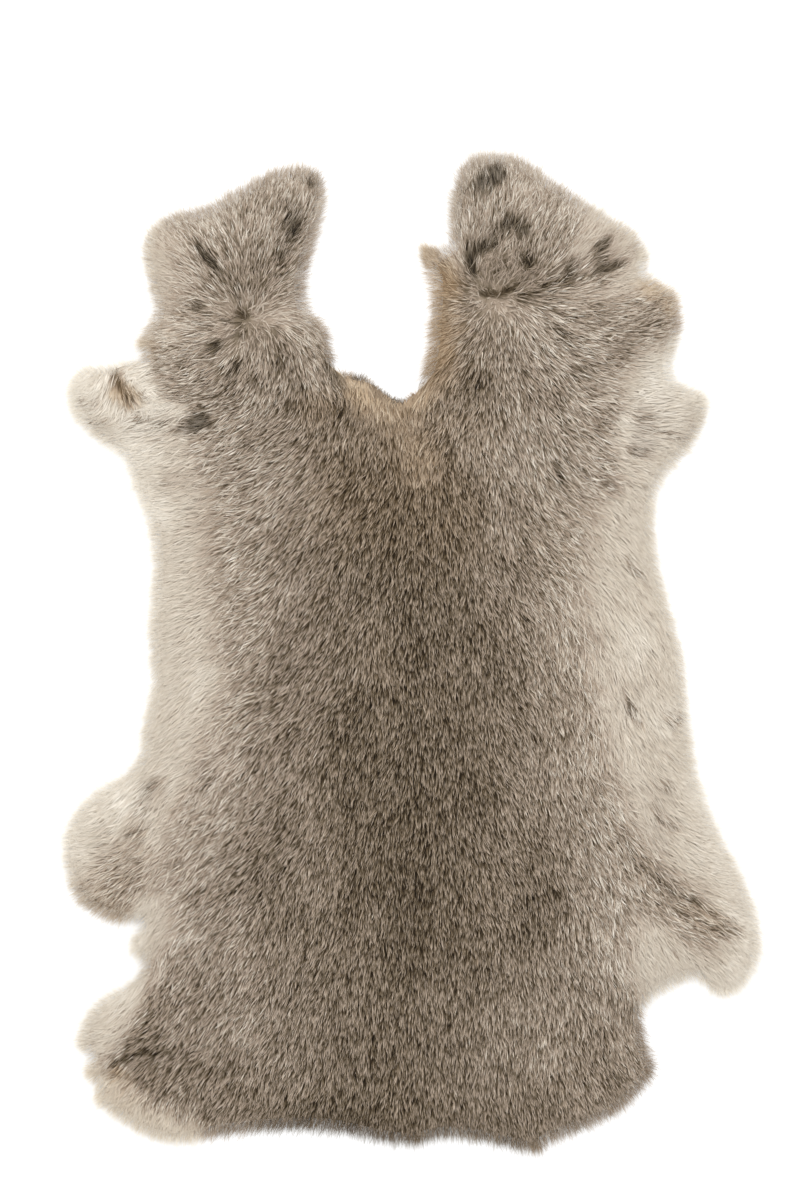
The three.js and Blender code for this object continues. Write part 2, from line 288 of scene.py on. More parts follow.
def combField():
    rows = [(*row, guide["reach"]) for stretch in comb.values() for row in stretch]
    rows += [(*row, guide["fineReach"]) for stretch in fineComb.values() for row in stretch]
    eastward, northward, total = np.zeros((3, *fieldX.shape))
    for x, y, angle, reach in rows:
        away = (fieldX - x - toRow[0]) ** 2 + (fieldY - y - toRow[1]) ** 2
        pull = np.exp(-away / (2 * reach ** 2)) * (guide["reach"] / reach)
        pull += sum(share * np.exp(-away / (2 * far ** 2)) for far, share in guide["far"])
        eastward += pull * math.sin(math.radians(angle))
        northward -= pull * math.cos(math.radians(angle))
        total += pull
    size = np.hypot(eastward, northward) + 1e-12
    return (eastward / size, northward / size), smooth(0.1 + size / total)


combWay, combFirm = combField()  # the second says how far the hair is laid down
print("comb guides laid")

# Colour zones. Tone runs from 0, black-brown, to 1, white. Warm is tan, ash is cool grey.
zones = [
    # name, kind, places, reach, tone, warm, ash, strength
    ("spine", "line", [(-4, 75), (0, 20), (0, -60), (2, -130), (0, -195)], 80, 0.355, 0.1, 0, 0.95),
    ("spineShade", "line", [(0, -65), (0, -128)], 16, 0.3, 0.1, 0, 0.8),
    ("spineShadeLeft", "line", [(-22, -20), (-24, -110)], 14, 0.35, 0.1, 0, 0.6),
    ("spineShadeRight", "line", [(28, -22), (26, -58)], 14, 0.38, 0.1, 0, 0.7),
    ("warmShoulderBlade", "line", [(-20, 62), (15, 55)], 42, 0.42, 0.35, 0, 0.6),
    ("rump", "line", [(-78, -172), (-30, -165), (35, -165), (70, -165)], 58, 0.42, 0.05, 0, 0.75),
    ("rumpPaleLeft", "line", [(-92, -150), (-66, -146), (-48, -164)], 25, 0.55, 0, 0, 0.75),
    ("rumpPaleRight", "line", [(30, -168), (48, -148), (68, -138), (80, -110), (78, -80)], 25, 0.56, 0, 0,
        0.8),
    ("rightHaunchPale", "line", [(76, -62), (81, -110), (80, -148)], 11, 0.67, 0, 0, 0.75),
    ("leftHaunchPale", "line", [(-102, -98), (-88, -116), (-107, -140)], 11, 0.66, 0, 0, 0.6),
    ("leftRumpPale", "line", [(-100, -152), (-92, -184)], 10, 0.56, 0, 0, 0.5),
    ("tailDark", "line", [(-10, -158), (0, -186)], 17, 0.36, 0.1, 0, 0.6),
    ("backShadeLeft", "line", [(-57, -78), (-50, -120)], 17, 0.42, 0.05, 0, 0.75),
    ("backShadeRight", "line", [(50, -82), (48, -114)], 17, 0.42, 0.05, 0, 0.8),
    ("tailShade", "line", [(-52, -184), (-20, -188)], 16, 0.34, 0.05, 0, 0.7),
    ("leftShoulderWash", "line", [(-75, 165), (-72, 130)], 52, 0.66, 0, 0, 0.8),
    ("leftWhirlPale", "line", [(-92, 142), (-68, 138), (-50, 132), (-42, 116)], 10, 0.69, 0, 0, 0.5),
    ("leftShoulderShade", "line", [(-78, 158), (-64, 154), (-62, 172)], 13, 0.55, 0, 0, 0.75),
    ("leftFootShade", "line", [(-74, 104), (-50, 108)], 18, 0.52, 0, 0, 0.75),
    ("leftBladeWash", "line", [(-78, 78), (-54, 66)], 23, 0.66, 0, 0, 0.65),
    ("leftRibPale", "line", [(-70, 54), (-66, 8), (-46, 26)], 13, 0.63, 0, 0, 0.5),
    ("leftFlankPale", "line", [(-100, 56), (-78, 26), (-74, -20)], 10, 0.76, 0, 0, 0.4),
    ("spinePale", "line", [(-16, 6), (-12, -8)], 11, 0.45, 0.18, 0, 0.6),
    ("rightRibPale", "line", [(30, 30), (48, 24), (62, 10)], 12, 0.62, 0, 0, 0.55),
    ("armpitPale", "line", [(-94, 80), (-89, 64), (-80, 44)], 17, 0.79, 0, 0, 0.8),
    ("rightShoulderWash", "line", [(45, 175), (50, 130), (65, 100)], 55, 0.64, 0, 0, 0.8),
    ("rightLobeCream", "line", [(74, 172), (84, 162), (93, 154)], 16, 0.8, 0, 0, 0.85),
    ("rightLobePale", "line", [(66, 142), (80, 144), (90, 146)], 12, 0.73, 0, 0, 0.8),
    ("rightLobeShade", "line", [(31, 184), (46, 158)], 11, 0.6, 0, 0, 0.5),
    ("rightCurlPale", "line", [(24, 172), (25, 150), (36, 138)], 10, 0.68, 0, 0, 0.5),
    ("rightShoulderPale", "line", [(64, 132), (74, 112), (70, 100)], 11, 0.67, 0, 0, 0.5),
    ("rightBladeShade", "line", [(34, 122), (46, 110), (52, 97)], 16, 0.53, 0, 0, 0.75),
    ("shoulderShadeLow", "line", [(24, 118), (28, 101)], 11, 0.49, 0.1, 0, 0.6),
    ("rightBladePale", "line", [(26, 78), (50, 72), (37, 62), (38, 44)], 14, 0.62, 0, 0, 0.65),
    ("rightKnotPale", "line", [(69, 159), (72, 166)], 7, 0.84, 0, 0, 0.8),
    ("rightElbowPale", "line", [(66, 70), (70, 40)], 15, 0.72, 0, 0, 0.7),
    ("rightLegPale", "line", [(96, 121), (91, 106)], 12, 0.82, 0, 0, 0.8),
    ("leftLobePale", "line", [(-103, 166), (-99, 150), (-98, 128)], 15, 0.77, 0.05, 0, 0.7),
    ("leftTopLow", "line", [(-52, 157), (-58, 148)], 10, 0.55, 0, 0, 0.6),
    ("rightPartingShade", "line", [(26, 150), (48, 143), (68, 149)], 10, 0.55, 0, 0, 0.6),
    ("leftSideWash", "line", [(-72, 60), (-70, 0), (-74, -36)], 22, 0.65, 0.06, 0, 0.7),
    ("rightSideWash", "line", [(60, 60), (62, 10), (72, -45)], 20, 0.64, 0.06, 0, 0.7),
    ("leftForelegCream", "area", [(-106, 130), (-105, 119), (-101, 109), (-96, 102), (-91, 97), (-90, 90),
        (-92, 82), (-90, 74), (-118, 70), (-150, 80), (-150, 125)], 3, 0.86, 0, 0, 1),
    ("armpitGreen", "line", [(-113, 92), (-97, 87)], 9, 0.77, 0, 0.25, 0.5),
    ("leftFlankCream", "area", [(-92, 92), (-95, 78), (-96, 70), (-93, 60), (-87, 50), (-84, 38),
        (-80, 28), (-79, 10), (-77, -10), (-77, -28), (-82, -40), (-88, -51), (-93, -63), (-97, -80),
        (-100, -100), (-100, -112), (-102, -122), (-107, -140), (-112, -150), (-117, -160), (-121, -168),
        (-150, -168), (-150, 92)], 8, 0.795, 0, 0, 1),
    ("leftArmFlank", "line", [(-113, 82), (-103, 56)], 11, 0.86, 0, 0, 0.7),
    ("leftRumpCream", "area", [(-122, -168), (-116, -170), (-108, -178), (-96, -184), (-84, -190),
        (-76, -199), (-150, -205), (-150, -166)], 4, 0.79, 0.16, 0, 0.95),
    ("leftHindWash", "line", [(-80, -46), (-86, -74), (-101, -108)], 19, 0.71, 0, 0, 0.75),
    ("leftHindPale", "line", [(-120, -58), (-132, -78)], 16, 0.85, 0, 0, 0.8),
    ("rightForelegCream", "area", [(107, 126), (98, 117), (91, 108), (86, 98), (82, 90), (84, 80),
        (88, 70), (150, 70), (150, 126)], 4, 0.82, 0, 0.06, 1),
    ("rightFlankCream", "area", [(85, 82), (82, 70), (77, 60), (73, 50), (71, 40), (71, 10), (70, 0),
        (72, -12), (75, -26), (79, -44), (86, -64), (90, -80), (93, -92), (90, -104), (86, -116),
        (88, -130), (93, -142), (150, -140), (150, 82)], 8, 0.79, 0, 0, 1),
    ("rightHindPale", "line", [(113, -55), (123, -84), (134, -110), (130, -130)], 11, 0.84, 0, 0, 0.8),
    ("rightFlankGrey", "line", [(99, -56), (98, -80)], 9, 0.72, 0, 0.1, 0.6),
    ("leftHindPatch", "area", [(-130, -90), (-122, -80), (-112, -73), (-108, -74), (-104, -88),
        (-109, -98), (-116, -110), (-124, -108), (-131, -100), (-134, -94)], 7, 0.58, 0.1, 0, 0.8),
    ("leftHindBrown", "line", [(-126, -99), (-117, -105)], 8, 0.55, 0.25, 0, 0.5),
    ("leftHindStripe", "line", [(-93, -82), (-99, -95)], 7, 0.6, 0, 0, 0.5),
    ("rightHindPatch", "area", [(88, -74), (98, -84), (111, -97), (124, -102), (128, -110), (122, -117),
        (110, -114), (99, -108), (90, -94), (84, -80)], 8, 0.6, 0.05, 0, 0.75),
    ("rightHindBrown", "line", [(112, -104), (121, -109)], 8, 0.56, 0.3, 0, 0.6),
    ("neckTan", "line", [(-22, 104), (-14, 101.5), (-6, 97), (2, 98)], 10, 0.77, 0.7, 0, 0.9),
    ("notchTan", "line", [(12, 150), (11, 130), (9, 108)], 14, 0.57, 0.8, 0, 0.9),
    ("neckPale", "line", [(10, 104), (16, 94), (28, 86)], 13, 0.58, 0.2, 0, 0.5),
    ("neckWarm", "line", [(-4, 92), (1, 82), (3, 76)], 20, 0.6, 0.5, 0, 0.75),
    ("shoulderTuftTan", "line", [(6, 160), (6, 154)], 7, 0.62, 0.5, 0, 0.8),
    ("rightLegGrey", "line", [(94, 95), (92, 82)], 9, 0.71, 0, 0.25, 0.7),
    ("rightLegTip", "line", [(113, 90), (108, 80)], 8, 0.76, 0, 0.1, 0.6),
    ("curlTan", "line", [(96, 145), (104, 146), (107, 133)], 7, 0.7, 0.6, 0, 0.7),
    ("leftLobePeach", "line", [(-107, 131), (-106, 120)], 7, 0.75, 0.35, 0, 0.8),
    ("rumpBelowCrease", "line", [(-108, -168), (-97, -176)], 8, 0.46, 0.1, 0, 0.6),
    ("rumpTan", "line", [(-117, -169), (-113, -171)], 4, 0.52, 0.7, 0, 0.7),
    ("neckBrown", "line", [(-42, 97), (-30, 97)], 10, 0.4, 0.3, 0, 0.7),
    ("commaTan", "line", [(-117, 106), (-112, 99)], 5, 0.7, 0.7, 0, 0.6),
    ("rumpShade", "line", [(-104, -138), (-105, -150), (-111, -158)], 9, 0.42, 0.1, 0, 0.6),
]

# Lighter and darker touches on top of the zones.
touchSpots = [
    # x, y, reach, change of tone
    (34, 195, 8, 0.06), (-38, 192, 8, -0.05), (-70, 186, 8, -0.05), (46, 183, 9, 0.055),
    (-52, 178, 7, -0.045), (48, 172, 7, 0.06), (70, 168, 9, -0.05), (48, 168, 9, -0.05),
    (57, 165, 8, -0.05), (50, 158, 9, -0.05), (76, 155, 8, 0.055), (8, 149, 6, -0.07),
    (-45, 148, 8, 0.05), (37, 146, 8, 0.04), (93, 128, 10, -0.05), (-50, 122, 8, -0.06),
    (86, 118, 9, -0.06), (-35, 105, 9, 0.05), (-30, 105, 7, 0.06), (-70, 104, 9, -0.045),
    (56, 104, 12, -0.05), (30, 100, 11, -0.05), (-66, 94, 10, 0.045), (115, 85, 9, -0.04),
    (-20, 85, 9, 0.04), (-92, 80, 9, -0.04), (-12, 75, 9, 0.045), (-48, 60, 8, -0.05),
    (-86, 60, 8, 0.045), (-95, 55, 9, 0.04), (-38, 52, 11, 0.065), (2, 52, 9, -0.045),
    (-40, 45, 10, 0.04), (-70, 42, 8, -0.04), (-10, 30, 8, 0.05), (-106, 20, 9, 0.03), (64, 18, 9, 0.05),
    (70, 12, 9, 0.04), (-52, -10, 12, -0.07), (-80, -12, 11, 0.045), (62, -22, 10, -0.04),
    (101, -28, 9, 0.045), (-28, -28, 10, -0.05), (-70, -29, 8, -0.04), (-52, -42, 9, -0.04),
    (76, -46, 8, 0.04), (-14, -48, 10, -0.035), (-90, -50, 9, 0.045), (24, -56, 10, -0.045),
    (-104, -58, 8, -0.05), (-113, -60, 10, 0.055), (72, -60, 9, -0.04), (-50, -66, 10, -0.05),
    (-122, -76, 8, -0.05), (-116, -92, 9, -0.05), (-65, -93, 12, -0.07), (-122, -94, 9, 0.06),
    (-128, -95, 9, 0.045), (97, -102, 10, -0.05), (122, -105, 9, 0.045), (122, -108, 8, 0.045),
    (122, -118, 10, -0.05), (-92, -125, 9, -0.05), (22, -125, 9, -0.045), (-106, -134, 8, 0.06),
    (-50, -140, 10, -0.04), (-112, -142, 10, 0.055), (12, -142, 11, 0.04), (-102, -142, 8, -0.05),
    (22, -165, 11, -0.05), (-110, -170, 9, -0.05), (-119, -170, 7, 0.065), (-36, -170, 12, -0.05),
    (-53, -178, 10, 0.045), (-93, -184, 9, 0.055),
]
touchLines = [
    # x, y, to x, to y, reach, change of tone
    (-47, 187, -42, 178, 8, 0.07), (7, 158, 22, 158, 7, 0.06), (-98, 152, -80, 152, 10, 0.04),
    (88, 152, 83, 140, 9, 0.05), (-78, 151, -45, 150, 10, -0.07), (62, 149, 70, 148, 9, 0.05),
    (28, 140, 46, 132, 11, 0.06), (-106, 140, -104, 122, 8, -0.045), (-65, 138, -50, 132, 9, 0.07),
    (-76, 128, -80, 114, 10, 0.05), (100, 108, 97, 102, 7, 0.03), (-34, 103, -44, 88, 9, 0.05),
    (115, 92, 112, 78, 8, -0.045), (-112, 90, -105, 80, 9, 0.045), (0, 88, 12, 88, 10, 0.045),
    (-38, 62, -28, 84, 9, 0.045), (36, 34, 50, 26, 9, -0.04), (-12, 12, -20, -14, 11, 0.035),
    (76, 5, 88, -14, 9, -0.04), (90, 4, 86, -6, 10, 0.05), (-38, -50, -38, -88, 6, 0.035),
    (-52, -72, -46, -80, 9, -0.045), (-106, -80, -114, -76, 9, 0.055), (51, -88, 50, -114, 14, -0.06),
    (-136, -88, -128, -108, 6, -0.04), (-103, -105, -103, -116, 10, 0.075),
    (80, -128, 80, -142, 9, -0.05), (22, -142, 16, -136, 11, 0.05), (-78, -158, -62, -150, 11, 0.045),
    (55, -160, 85, -160, 11, 0.05), (-130, -160, -110, -176, 8, -0.035), (50, -170, 66, -172, 10, 0.05),
    (-52, -190, -8, -190, 7, -0.045), (58, -192, 90, -178, 8, 0.04), (38, -192, 62, -186, 7, -0.05),
]

# Dark partings where the underfur shows. Three of them are painted shade instead: the shadowed gap at the
# neck cut, the rump's crease and the groove on the left hind leg.
marks = [
    # name, places, half width, strength, ash
    ("leftTip", [(-38.5, 188.5)], 4.6, 0.6, 0.5),
    ("leftTopStreak", [(-49, 179), (-46, 171), (-50, 164), (-52, 157)], 3.4, 0.45, 0.3),
    ("leftTopCore", [(-46, 173), (-47, 167)], 4.6, 0.85, 0.4),
    ("leftMidStreak", [(-85, 161), (-77, 152)], 2.6, 0.7, 0.4),
    ("leftMidStreakLow", [(-72, 148), (-67, 144)], 2.4, 0.4, 0.3),
    ("leftSpot", [(-85.5, 138)], 3.9, 1, 0.2),
    ("whirlEye", [(-67, 134)], 3.8, 1, 0.1),
    ("whirlLine", [(-70, 145), (-67.5, 137)], 1.6, 0.5, 0.2),
    ("whirlArm", [(-76, 132.5), (-68, 130)], 1.5, 0.5, 0.2),
    ("whirlArmFar", [(-84, 131), (-80, 129.5)], 1.5, 0.5, 0.2),
    ("whirlFleck", [(-63, 138.5)], 2.2, 0.5, 0),
    ("whirlArmRight", [(-60, 135.5), (-54, 137.5)], 1.4, 0.45, 0),
    ("leftLowSpot", [(-78, 121)], 4, 0.95, 0.35),
    ("leftLowLine", [(-70, 124), (-66, 127)], 2, 0.5, 0.3),
    ("leftBrownSpot", [(-52, 116)], 4.6, 0.5, 0),
    ("leftFootLine", [(-72, 110), (-69, 114)], 2.6, 0.55, 0.3),
    # painted shadow: the shadowed gap along the edge of the neck cut, darkened into the coat's colour
    ("neckGapShadow", [(-34, 112.5), (-30.5, 109.5), (-26, 106)], 1.5, 0.7, 0.4),
    ("forelegComma", [(-119, 111), (-117, 106), (-115, 102.5), (-112, 99.5)], 1.9, 0.85, 0),
    ("forelegArm", [(-113, 102), (-104, 100.5)], 1.5, 0.45, 0),
    ("forelegTan", [(-112, 98.5)], 2.2, 0.3, 0),
    ("forelegGrey", [(-132, 99), (-127, 97)], 2.2, 0.3, 0.2),
    ("forelegGreyMid", [(-129, 91), (-122, 90)], 2.2, 0.3, 0.2),
    ("forelegGreyLow", [(-126, 85), (-121, 82)], 2.4, 0.35, 0.2),
    ("armpitGrey", [(-112, 91), (-93, 89)], 4, 0.25, 0.6),
    ("armpitGreyLow", [(-101, 84)], 4, 0.2, 0.6),
    ("armpitStreak", [(-96, 88), (-92, 89)], 1.8, 0.5, 0.3),
    ("armpitSpot", [(-88, 89.5), (-84, 91.5)], 4.6, 1, 0.5),
    ("flankFaint", [(-100, 66)], 4, 0.12, 0.5),
    ("flankStreak", [(-86, -46), (-80, -52)], 2.2, 0.4, 0.3),
    ("hindSmudge", [(-106, -59), (-105, -54)], 3.6, 0.3, 0.5),
    ("hindStreak", [(-86, -58), (-82, -55)], 1.8, 0.35, 0.3),
    ("hindLine", [(-115, -75), (-108, -73)], 2, 0.45, 0.3),
    ("hindFaint", [(-83, -72)], 3, 0.3, 0.3),
    ("hindShade", [(-107, -62), (-108, -70)], 3.4, 0.2, 0.4),
    ("hindBrown", [(-120, -97)], 6, 0.25, 0),
    ("hindBrownRight", [(-107, -97)], 4, 0.2, 0),
    # painted shade: the dark line down in the crease of the rump's fold
    ("rumpCreaseShadow", [(-121, -167.5), (-116, -164.5), (-112, -162.5), (-106, -161.3), (-97, -161.8)], 1.3,
        0.6, 0),
    ("rightTip", [(35, 191.5), (29, 187)], 5.4, 1, 0.5),
    ("rightTipTail", [(29, 187), (23, 185)], 3, 0.35, 0.4),
    ("rightArch", [(37, 170), (41, 172), (45, 169)], 3.9, 1, 0.3),
    ("rightHook", [(24, 160), (33, 163)], 3, 1, 0.3),
    ("rightHookStem", [(24, 157), (25, 151)], 2.8, 1, 0.3),
    ("rightMidSpot", [(47, 156)], 4.2, 0.8, 0.3),
    ("rightSmallSpot", [(65, 155), (65, 151)], 2.8, 0.8, 0.3),
    ("rightKnot", [(79, 164), (77, 162.5), (76.5, 158), (77, 154)], 2.9, 1, 0.3),
    ("rightKnotBar", [(84, 154.5), (78, 152.5), (74, 151)], 2.3, 0.85, 0.3),
    ("partingDot", [(28.5, 143)], 1.8, 0.8, 0.2),
    ("partingBrown", [(30, 142), (36, 142.5)], 2, 0.8, 0),
    ("partingBrownMid", [(38, 143.5), (43, 146)], 1.9, 0.8, 0),
    ("partingLow", [(45, 141), (49, 141.5)], 2.2, 0.6, 0),
    ("partingLine", [(53, 146), (58, 147), (65, 147.5)], 1.8, 0.6, 0),
    ("curlShade", [(32, 149), (35, 151)], 1.5, 0.5, 0),
    ("curlShadeRight", [(40, 152), (38, 156)], 1.4, 0.4, 0),
    ("shoulderFleck", [(54, 135)], 2.4, 0.4, 0.2),
    ("shoulderFleckLow", [(57, 129), (63, 127)], 2, 0.45, 0.3),
    ("shoulderSpot", [(62, 122)], 3, 0.5, 0.5),
    ("shoulderLine", [(73, 113), (65, 109)], 2.2, 0.5, 0.2),
    ("shoulderBrown", [(27, 108)], 6, 0.4, 0),
    ("bladeFleck", [(48, 99)], 3, 0.3, 0.1),
    ("bladeFleckRight", [(78, 90)], 3, 0.25, 0.1),
    ("forelegGreyRight", [(95, 91)], 5, 0.4, 0.6),
    ("forelegTipGrey", [(103, 87), (108, 85)], 3, 0.2, 0.9),
    ("forelegOval", [(90, 79), (94, 79)], 2.8, 0.6, 0.6),
    ("elbowLine", [(60, 74), (61, 70), (59, 66)], 2, 0.6, 0.3),
    ("elbowLineRight", [(63, 75), (72, 70)], 1.6, 0.5, 0.2),
    ("elbowSpot", [(81, 65)], 3.2, 0.35, 0.3),
    ("elbowFaint", [(95, 64)], 3, 0.15, 0.6),
    ("flankComma", [(89, 34), (92, 29)], 2.4, 0.45, 0.4),
    ("flankFaintRight", [(88, -7)], 3, 0.15, 0.5),
    ("flankSpotRight", [(87.5, -22), (89.5, -26)], 3.2, 0.5, 0.5),
    ("flankTuft", [(104, -30), (109, -27)], 3, 0.35, 0.5),
    ("flankTuftLow", [(106, -44)], 3, 0.15, 0.5),
    ("flankGrey", [(104, -56)], 3.4, 0.3, 0.5),
    ("flankLine", [(100, -67), (104, -70)], 2.6, 0.45, 0.3),
    ("hindStreakIn", [(88, -84), (98, -90)], 2.6, 0.3, 0.2),
    ("hindStreakMid", [(100, -90), (115, -101), (130, -112)], 3.6, 0.3, 0.2),
    ("hindStreakLow", [(104, -104), (116, -108), (126, -114)], 2.4, 0.35, 0.2),
    ("hindStreakTop", [(96, -88), (104, -96), (112, -100)], 2.2, 0.35, 0.2),
    ("hindSpot", [(110, -115)], 2.4, 0.4, 0.3),
    ("backBlue", [(33, -128)], 7, 0.1, 0.5),
    ("rumpBlue", [(84, -170)], 7, 0.1, 0.5),
]


paint = {
    "plainTone": 0.575,
    "ragged": (2.6, 1.8),  # how far a zone's border strays, in wide and in narrow waves
    "raggedWide": (9, 3.5),
    "markRagged": 0.9,
    "markRaggedWide": 3.0,
    "markAsh": 0.6,
}


def paintZones():
    tone = np.full(fieldX.shape, paint["plainTone"])
    warm, ash, gap = np.zeros((3, *fieldX.shape))
    ragged = np.zeros(fieldX.shape)
    for number, (far, wide) in enumerate(zip(paint["ragged"], paint["raggedWide"])):
        ragged += far * softNoise(fieldX, fieldY, wide, 41 + number)
    for row in zones:
        kind, places, reach, zoneTone, zoneWarm, zoneAsh, strength = row[1:]
        shape = np.array(places, float) + toRow
        if kind == "area":
            cover = smooth(0.5 + (depthIn(shape, fieldX, fieldY) + ragged) / (2 * reach))
        else:
            cover = smooth(1 - (distanceTo(shape, fieldX, fieldY) + ragged) / reach)
        cover = cover * strength
        tone += (zoneTone - tone) * cover
        warm += (zoneWarm - warm) * cover
        ash += (zoneAsh - ash) * cover
    for *places, reach, change in touchSpots + touchLines:
        shape = np.array(places, float).reshape(-1, 2) + toRow
        tone += change * smooth(1.2 - (distanceTo(shape, fieldX, fieldY) + 0.6 * ragged) / reach)
    ragged = paint["markRagged"] * softNoise(fieldX, fieldY, paint["markRaggedWide"], 43)
    for row in marks:
        places, reach, strength, cool = row[1:]
        shape = np.array(places, float) + toRow
        cover = smooth(1.1 - (distanceTo(shape, fieldX, fieldY) + ragged) / (1.1 * reach)) * strength
        gap = np.maximum(gap, cover)
        ash = np.maximum(ash, paint["markAsh"] * cool * cover)
    return tone, warm, ash, gap


toneField, warmField, ashField, gapField = paintZones()
print("colour zones:", len(zones), "touches:", len(touchSpots + touchLines), "marks:", len(marks))


def linear(*seen):
    # a colour as seen on screen, turned to the light values that the shaders take
    parts = [part / 255 for part in seen]
    return (*(p / 12.92 if p <= 0.04045 else ((p + 0.055) / 1.055) ** 2.4 for p in parts), 1.0)


hairColours = {
    "grey": [(0.0, (14, 10, 6)), (0.2, (49, 39, 26)), (0.35, (90, 77, 59)), (0.5, (128, 115, 97)),
             (0.6, (154, 139, 123)), (0.7, (181, 165, 149)), (0.8, (207, 197, 182)),
             (0.9, (229, 222, 210)), (1.0, (246, 242, 233))],
    "tan": [(0.0, (18, 12, 6)), (0.2, (58, 42, 24)), (0.4, (112, 87, 58)), (0.6, (165, 138, 105)),
            (0.8, (212, 189, 155)), (1.0, (246, 233, 208))],
    "ash": [(0.0, (12, 12, 12)), (0.4, (96, 94, 90)), (0.7, (172, 170, 164)), (1.0, (240, 240, 234))],
}
hairBands = [(0.0, 0.30), (0.35, 0.38), (0.55, 0.50), (0.74, 0.64), (0.88, 0.62), (1.0, 0.40)]


def feed(tree, node, inputs):
    # an input takes a value, or the output that is joined to it
    for name, value in inputs.items():
        if isinstance(value, bpy.types.NodeSocket):
            tree.links.new(value, node.inputs[name])
        else:
            node.inputs[name].default_value = value


def addNode(tree, kind, inputs, **settings):
    node = tree.nodes.new("ShaderNode" + kind)
    for name, value in settings.items():
        setattr(node, name, value)
    feed(tree, node, inputs)
    return node.outputs


def addRamp(tree, factor, stops):
    node = tree.nodes.new("ShaderNodeValToRGB")
    places = node.color_ramp.elements
    while len(places) > 1:
        places.remove(places[0])
    for number, (place, value) in enumerate(stops):
        stop = places[0] if number == 0 else places.new(place)
        stop.position = place
        stop.color = value if len(value) == 4 else linear(*value)
    feed(tree, node, {"Fac": factor})
    return node.outputs["Color"]


def newMaterial(name, inputs):
    material = bpy.data.materials.new(name)
    material.use_nodes = True
    shader = material.node_tree.nodes["Principled BSDF"]
    feed(material.node_tree, shader, inputs)
    return material, material.node_tree, shader


def tickedHairGroup():
    # one hair's colour: dark foot, pale band under the tip, dark tip, all around its zone's tone
    group = bpy.data.node_groups.new("tickedHair", "ShaderNodeTree")
    for name in ("Tone", "Warm", "Ash", "Contrast", "Along"):
        group.interface.new_socket(name, in_out="INPUT", socket_type="NodeSocketFloat")
    for name, kind in (("Colour", "Color"), ("Roughness", "Float")):
        group.interface.new_socket(name, in_out="OUTPUT", socket_type="NodeSocket" + kind)
    taken = group.nodes.new("NodeGroupInput").outputs
    given = group.nodes.new("NodeGroupOutput")
    greys = [(place, (value, value, value, 1)) for place, value in hairBands]
    bands = addRamp(group, taken["Along"], greys)
    lift = addNode(group, "Math", {0: bands, 1: 0.5}, operation="SUBTRACT")[0]
    tone = addNode(group, "Math", {0: lift, 1: taken["Contrast"], 2: taken["Tone"]},
                   operation="MULTIPLY_ADD", use_clamp=True)[0]
    ramps = {name: addRamp(group, tone, stops) for name, stops in hairColours.items()}
    colour = ramps["grey"]
    for name, amount in (("tan", "Warm"), ("ash", "Ash")):
        mixed = {"Factor": taken[amount], "A": colour, "B": ramps[name]}
        colour = addNode(group, "Mix", mixed, data_type="RGBA")["Result"]
    rough = addNode(group, "MapRange", {"Value": tone, "To Min": 0.62, "To Max": 0.85})["Result"]
    feed(group, given, {"Colour": colour, "Roughness": rough})
    return group


tickedHair = tickedHairGroup()


def hairMaterial(name, woolly):
    material, tree, shader = newMaterial(name, {
        "Specular IOR Level": 0.10, "Sheen Weight": 0.03, "Sheen Tint": linear(235, 215, 190)})
    layers = []
    for layer in ("coatZone", "strand"):
        stored = addNode(tree, "Attribute", {}, attribute_name=layer)
        layers.append(addNode(tree, "SeparateColor", {"Color": stored["Color"]}))
    coat, strand = layers
    along = strand["Red"]
    if woolly:
        place = addNode(tree, "TexCoord", {})["Object"]
        along = addNode(tree, "TexNoise", {"Vector": place, "Scale": 900, "Detail": 3})["Fac"]
        bump = addNode(tree, "Bump", {"Height": along, "Strength": 0.7, "Distance": 0.0008})
        feed(tree, shader, {"Normal": bump["Normal"]})
    hair = addNode(tree, "Group", {
        "Tone": coat["Red"], "Warm": coat["Green"], "Ash": coat["Blue"],
        "Contrast": strand["Green"], "Along": along}, node_tree=tickedHair)
    feed(tree, shader, {"Base Color": hair["Colour"], "Roughness": hair["Roughness"]})
    return material


guardHairFinish = hairMaterial("guardHair", woolly=False)
underfurFinish = hairMaterial("underfur", woolly=True)


def suedeMaterial():
    # tanned flesh side: pale buff nap, cloudy, with a few darker stretch marks
    material, tree, shader = newMaterial("fleshSide", {"Specular IOR Level": 0.25, "Sheen Weight": 0.3})
    place = addNode(tree, "TexCoord", {})["Object"]
    cloud = addNode(tree, "TexNoise", {"Vector": place, "Scale": 14, "Detail": 6})["Fac"]
    colour = addRamp(tree, cloud, [(0.3, (176, 150, 118)), (0.5, (205, 184, 152)), (0.72, (226, 211, 186))])
    stretch = addNode(tree, "Mapping", {"Vector": place, "Scale": (60, 11, 60)})["Vector"]
    streaks = addNode(tree, "TexNoise", {"Vector": stretch, "Scale": 1.6, "Detail": 4})["Fac"]
    darker = addNode(tree, "MapRange", {
        "Value": streaks, "From Min": 0.56, "From Max": 0.72, "To Max": 0.35})["Result"]
    mixed = {"Factor": darker, "A": colour, "B": linear(150, 118, 86)}
    colour = addNode(tree, "Mix", mixed, data_type="RGBA")["Result"]
    nap = addNode(tree, "TexNoise", {"Vector": place, "Scale": 1400, "Detail": 2})["Fac"]
    bump = addNode(tree, "Bump", {"Height": nap, "Strength": 0.4, "Distance": 0.0003})["Normal"]
    rough = addNode(tree, "MapRange", {"Value": nap, "To Min": 0.75, "To Max": 0.95})["Result"]
    feed(tree, shader, {"Base Color": colour, "Normal": bump, "Roughness": rough})
    return material


suedeFinish = suedeMaterial()
print("finishes mixed")


def placesOf(points):
    return np.array([v.co[:2] for v in points]).T


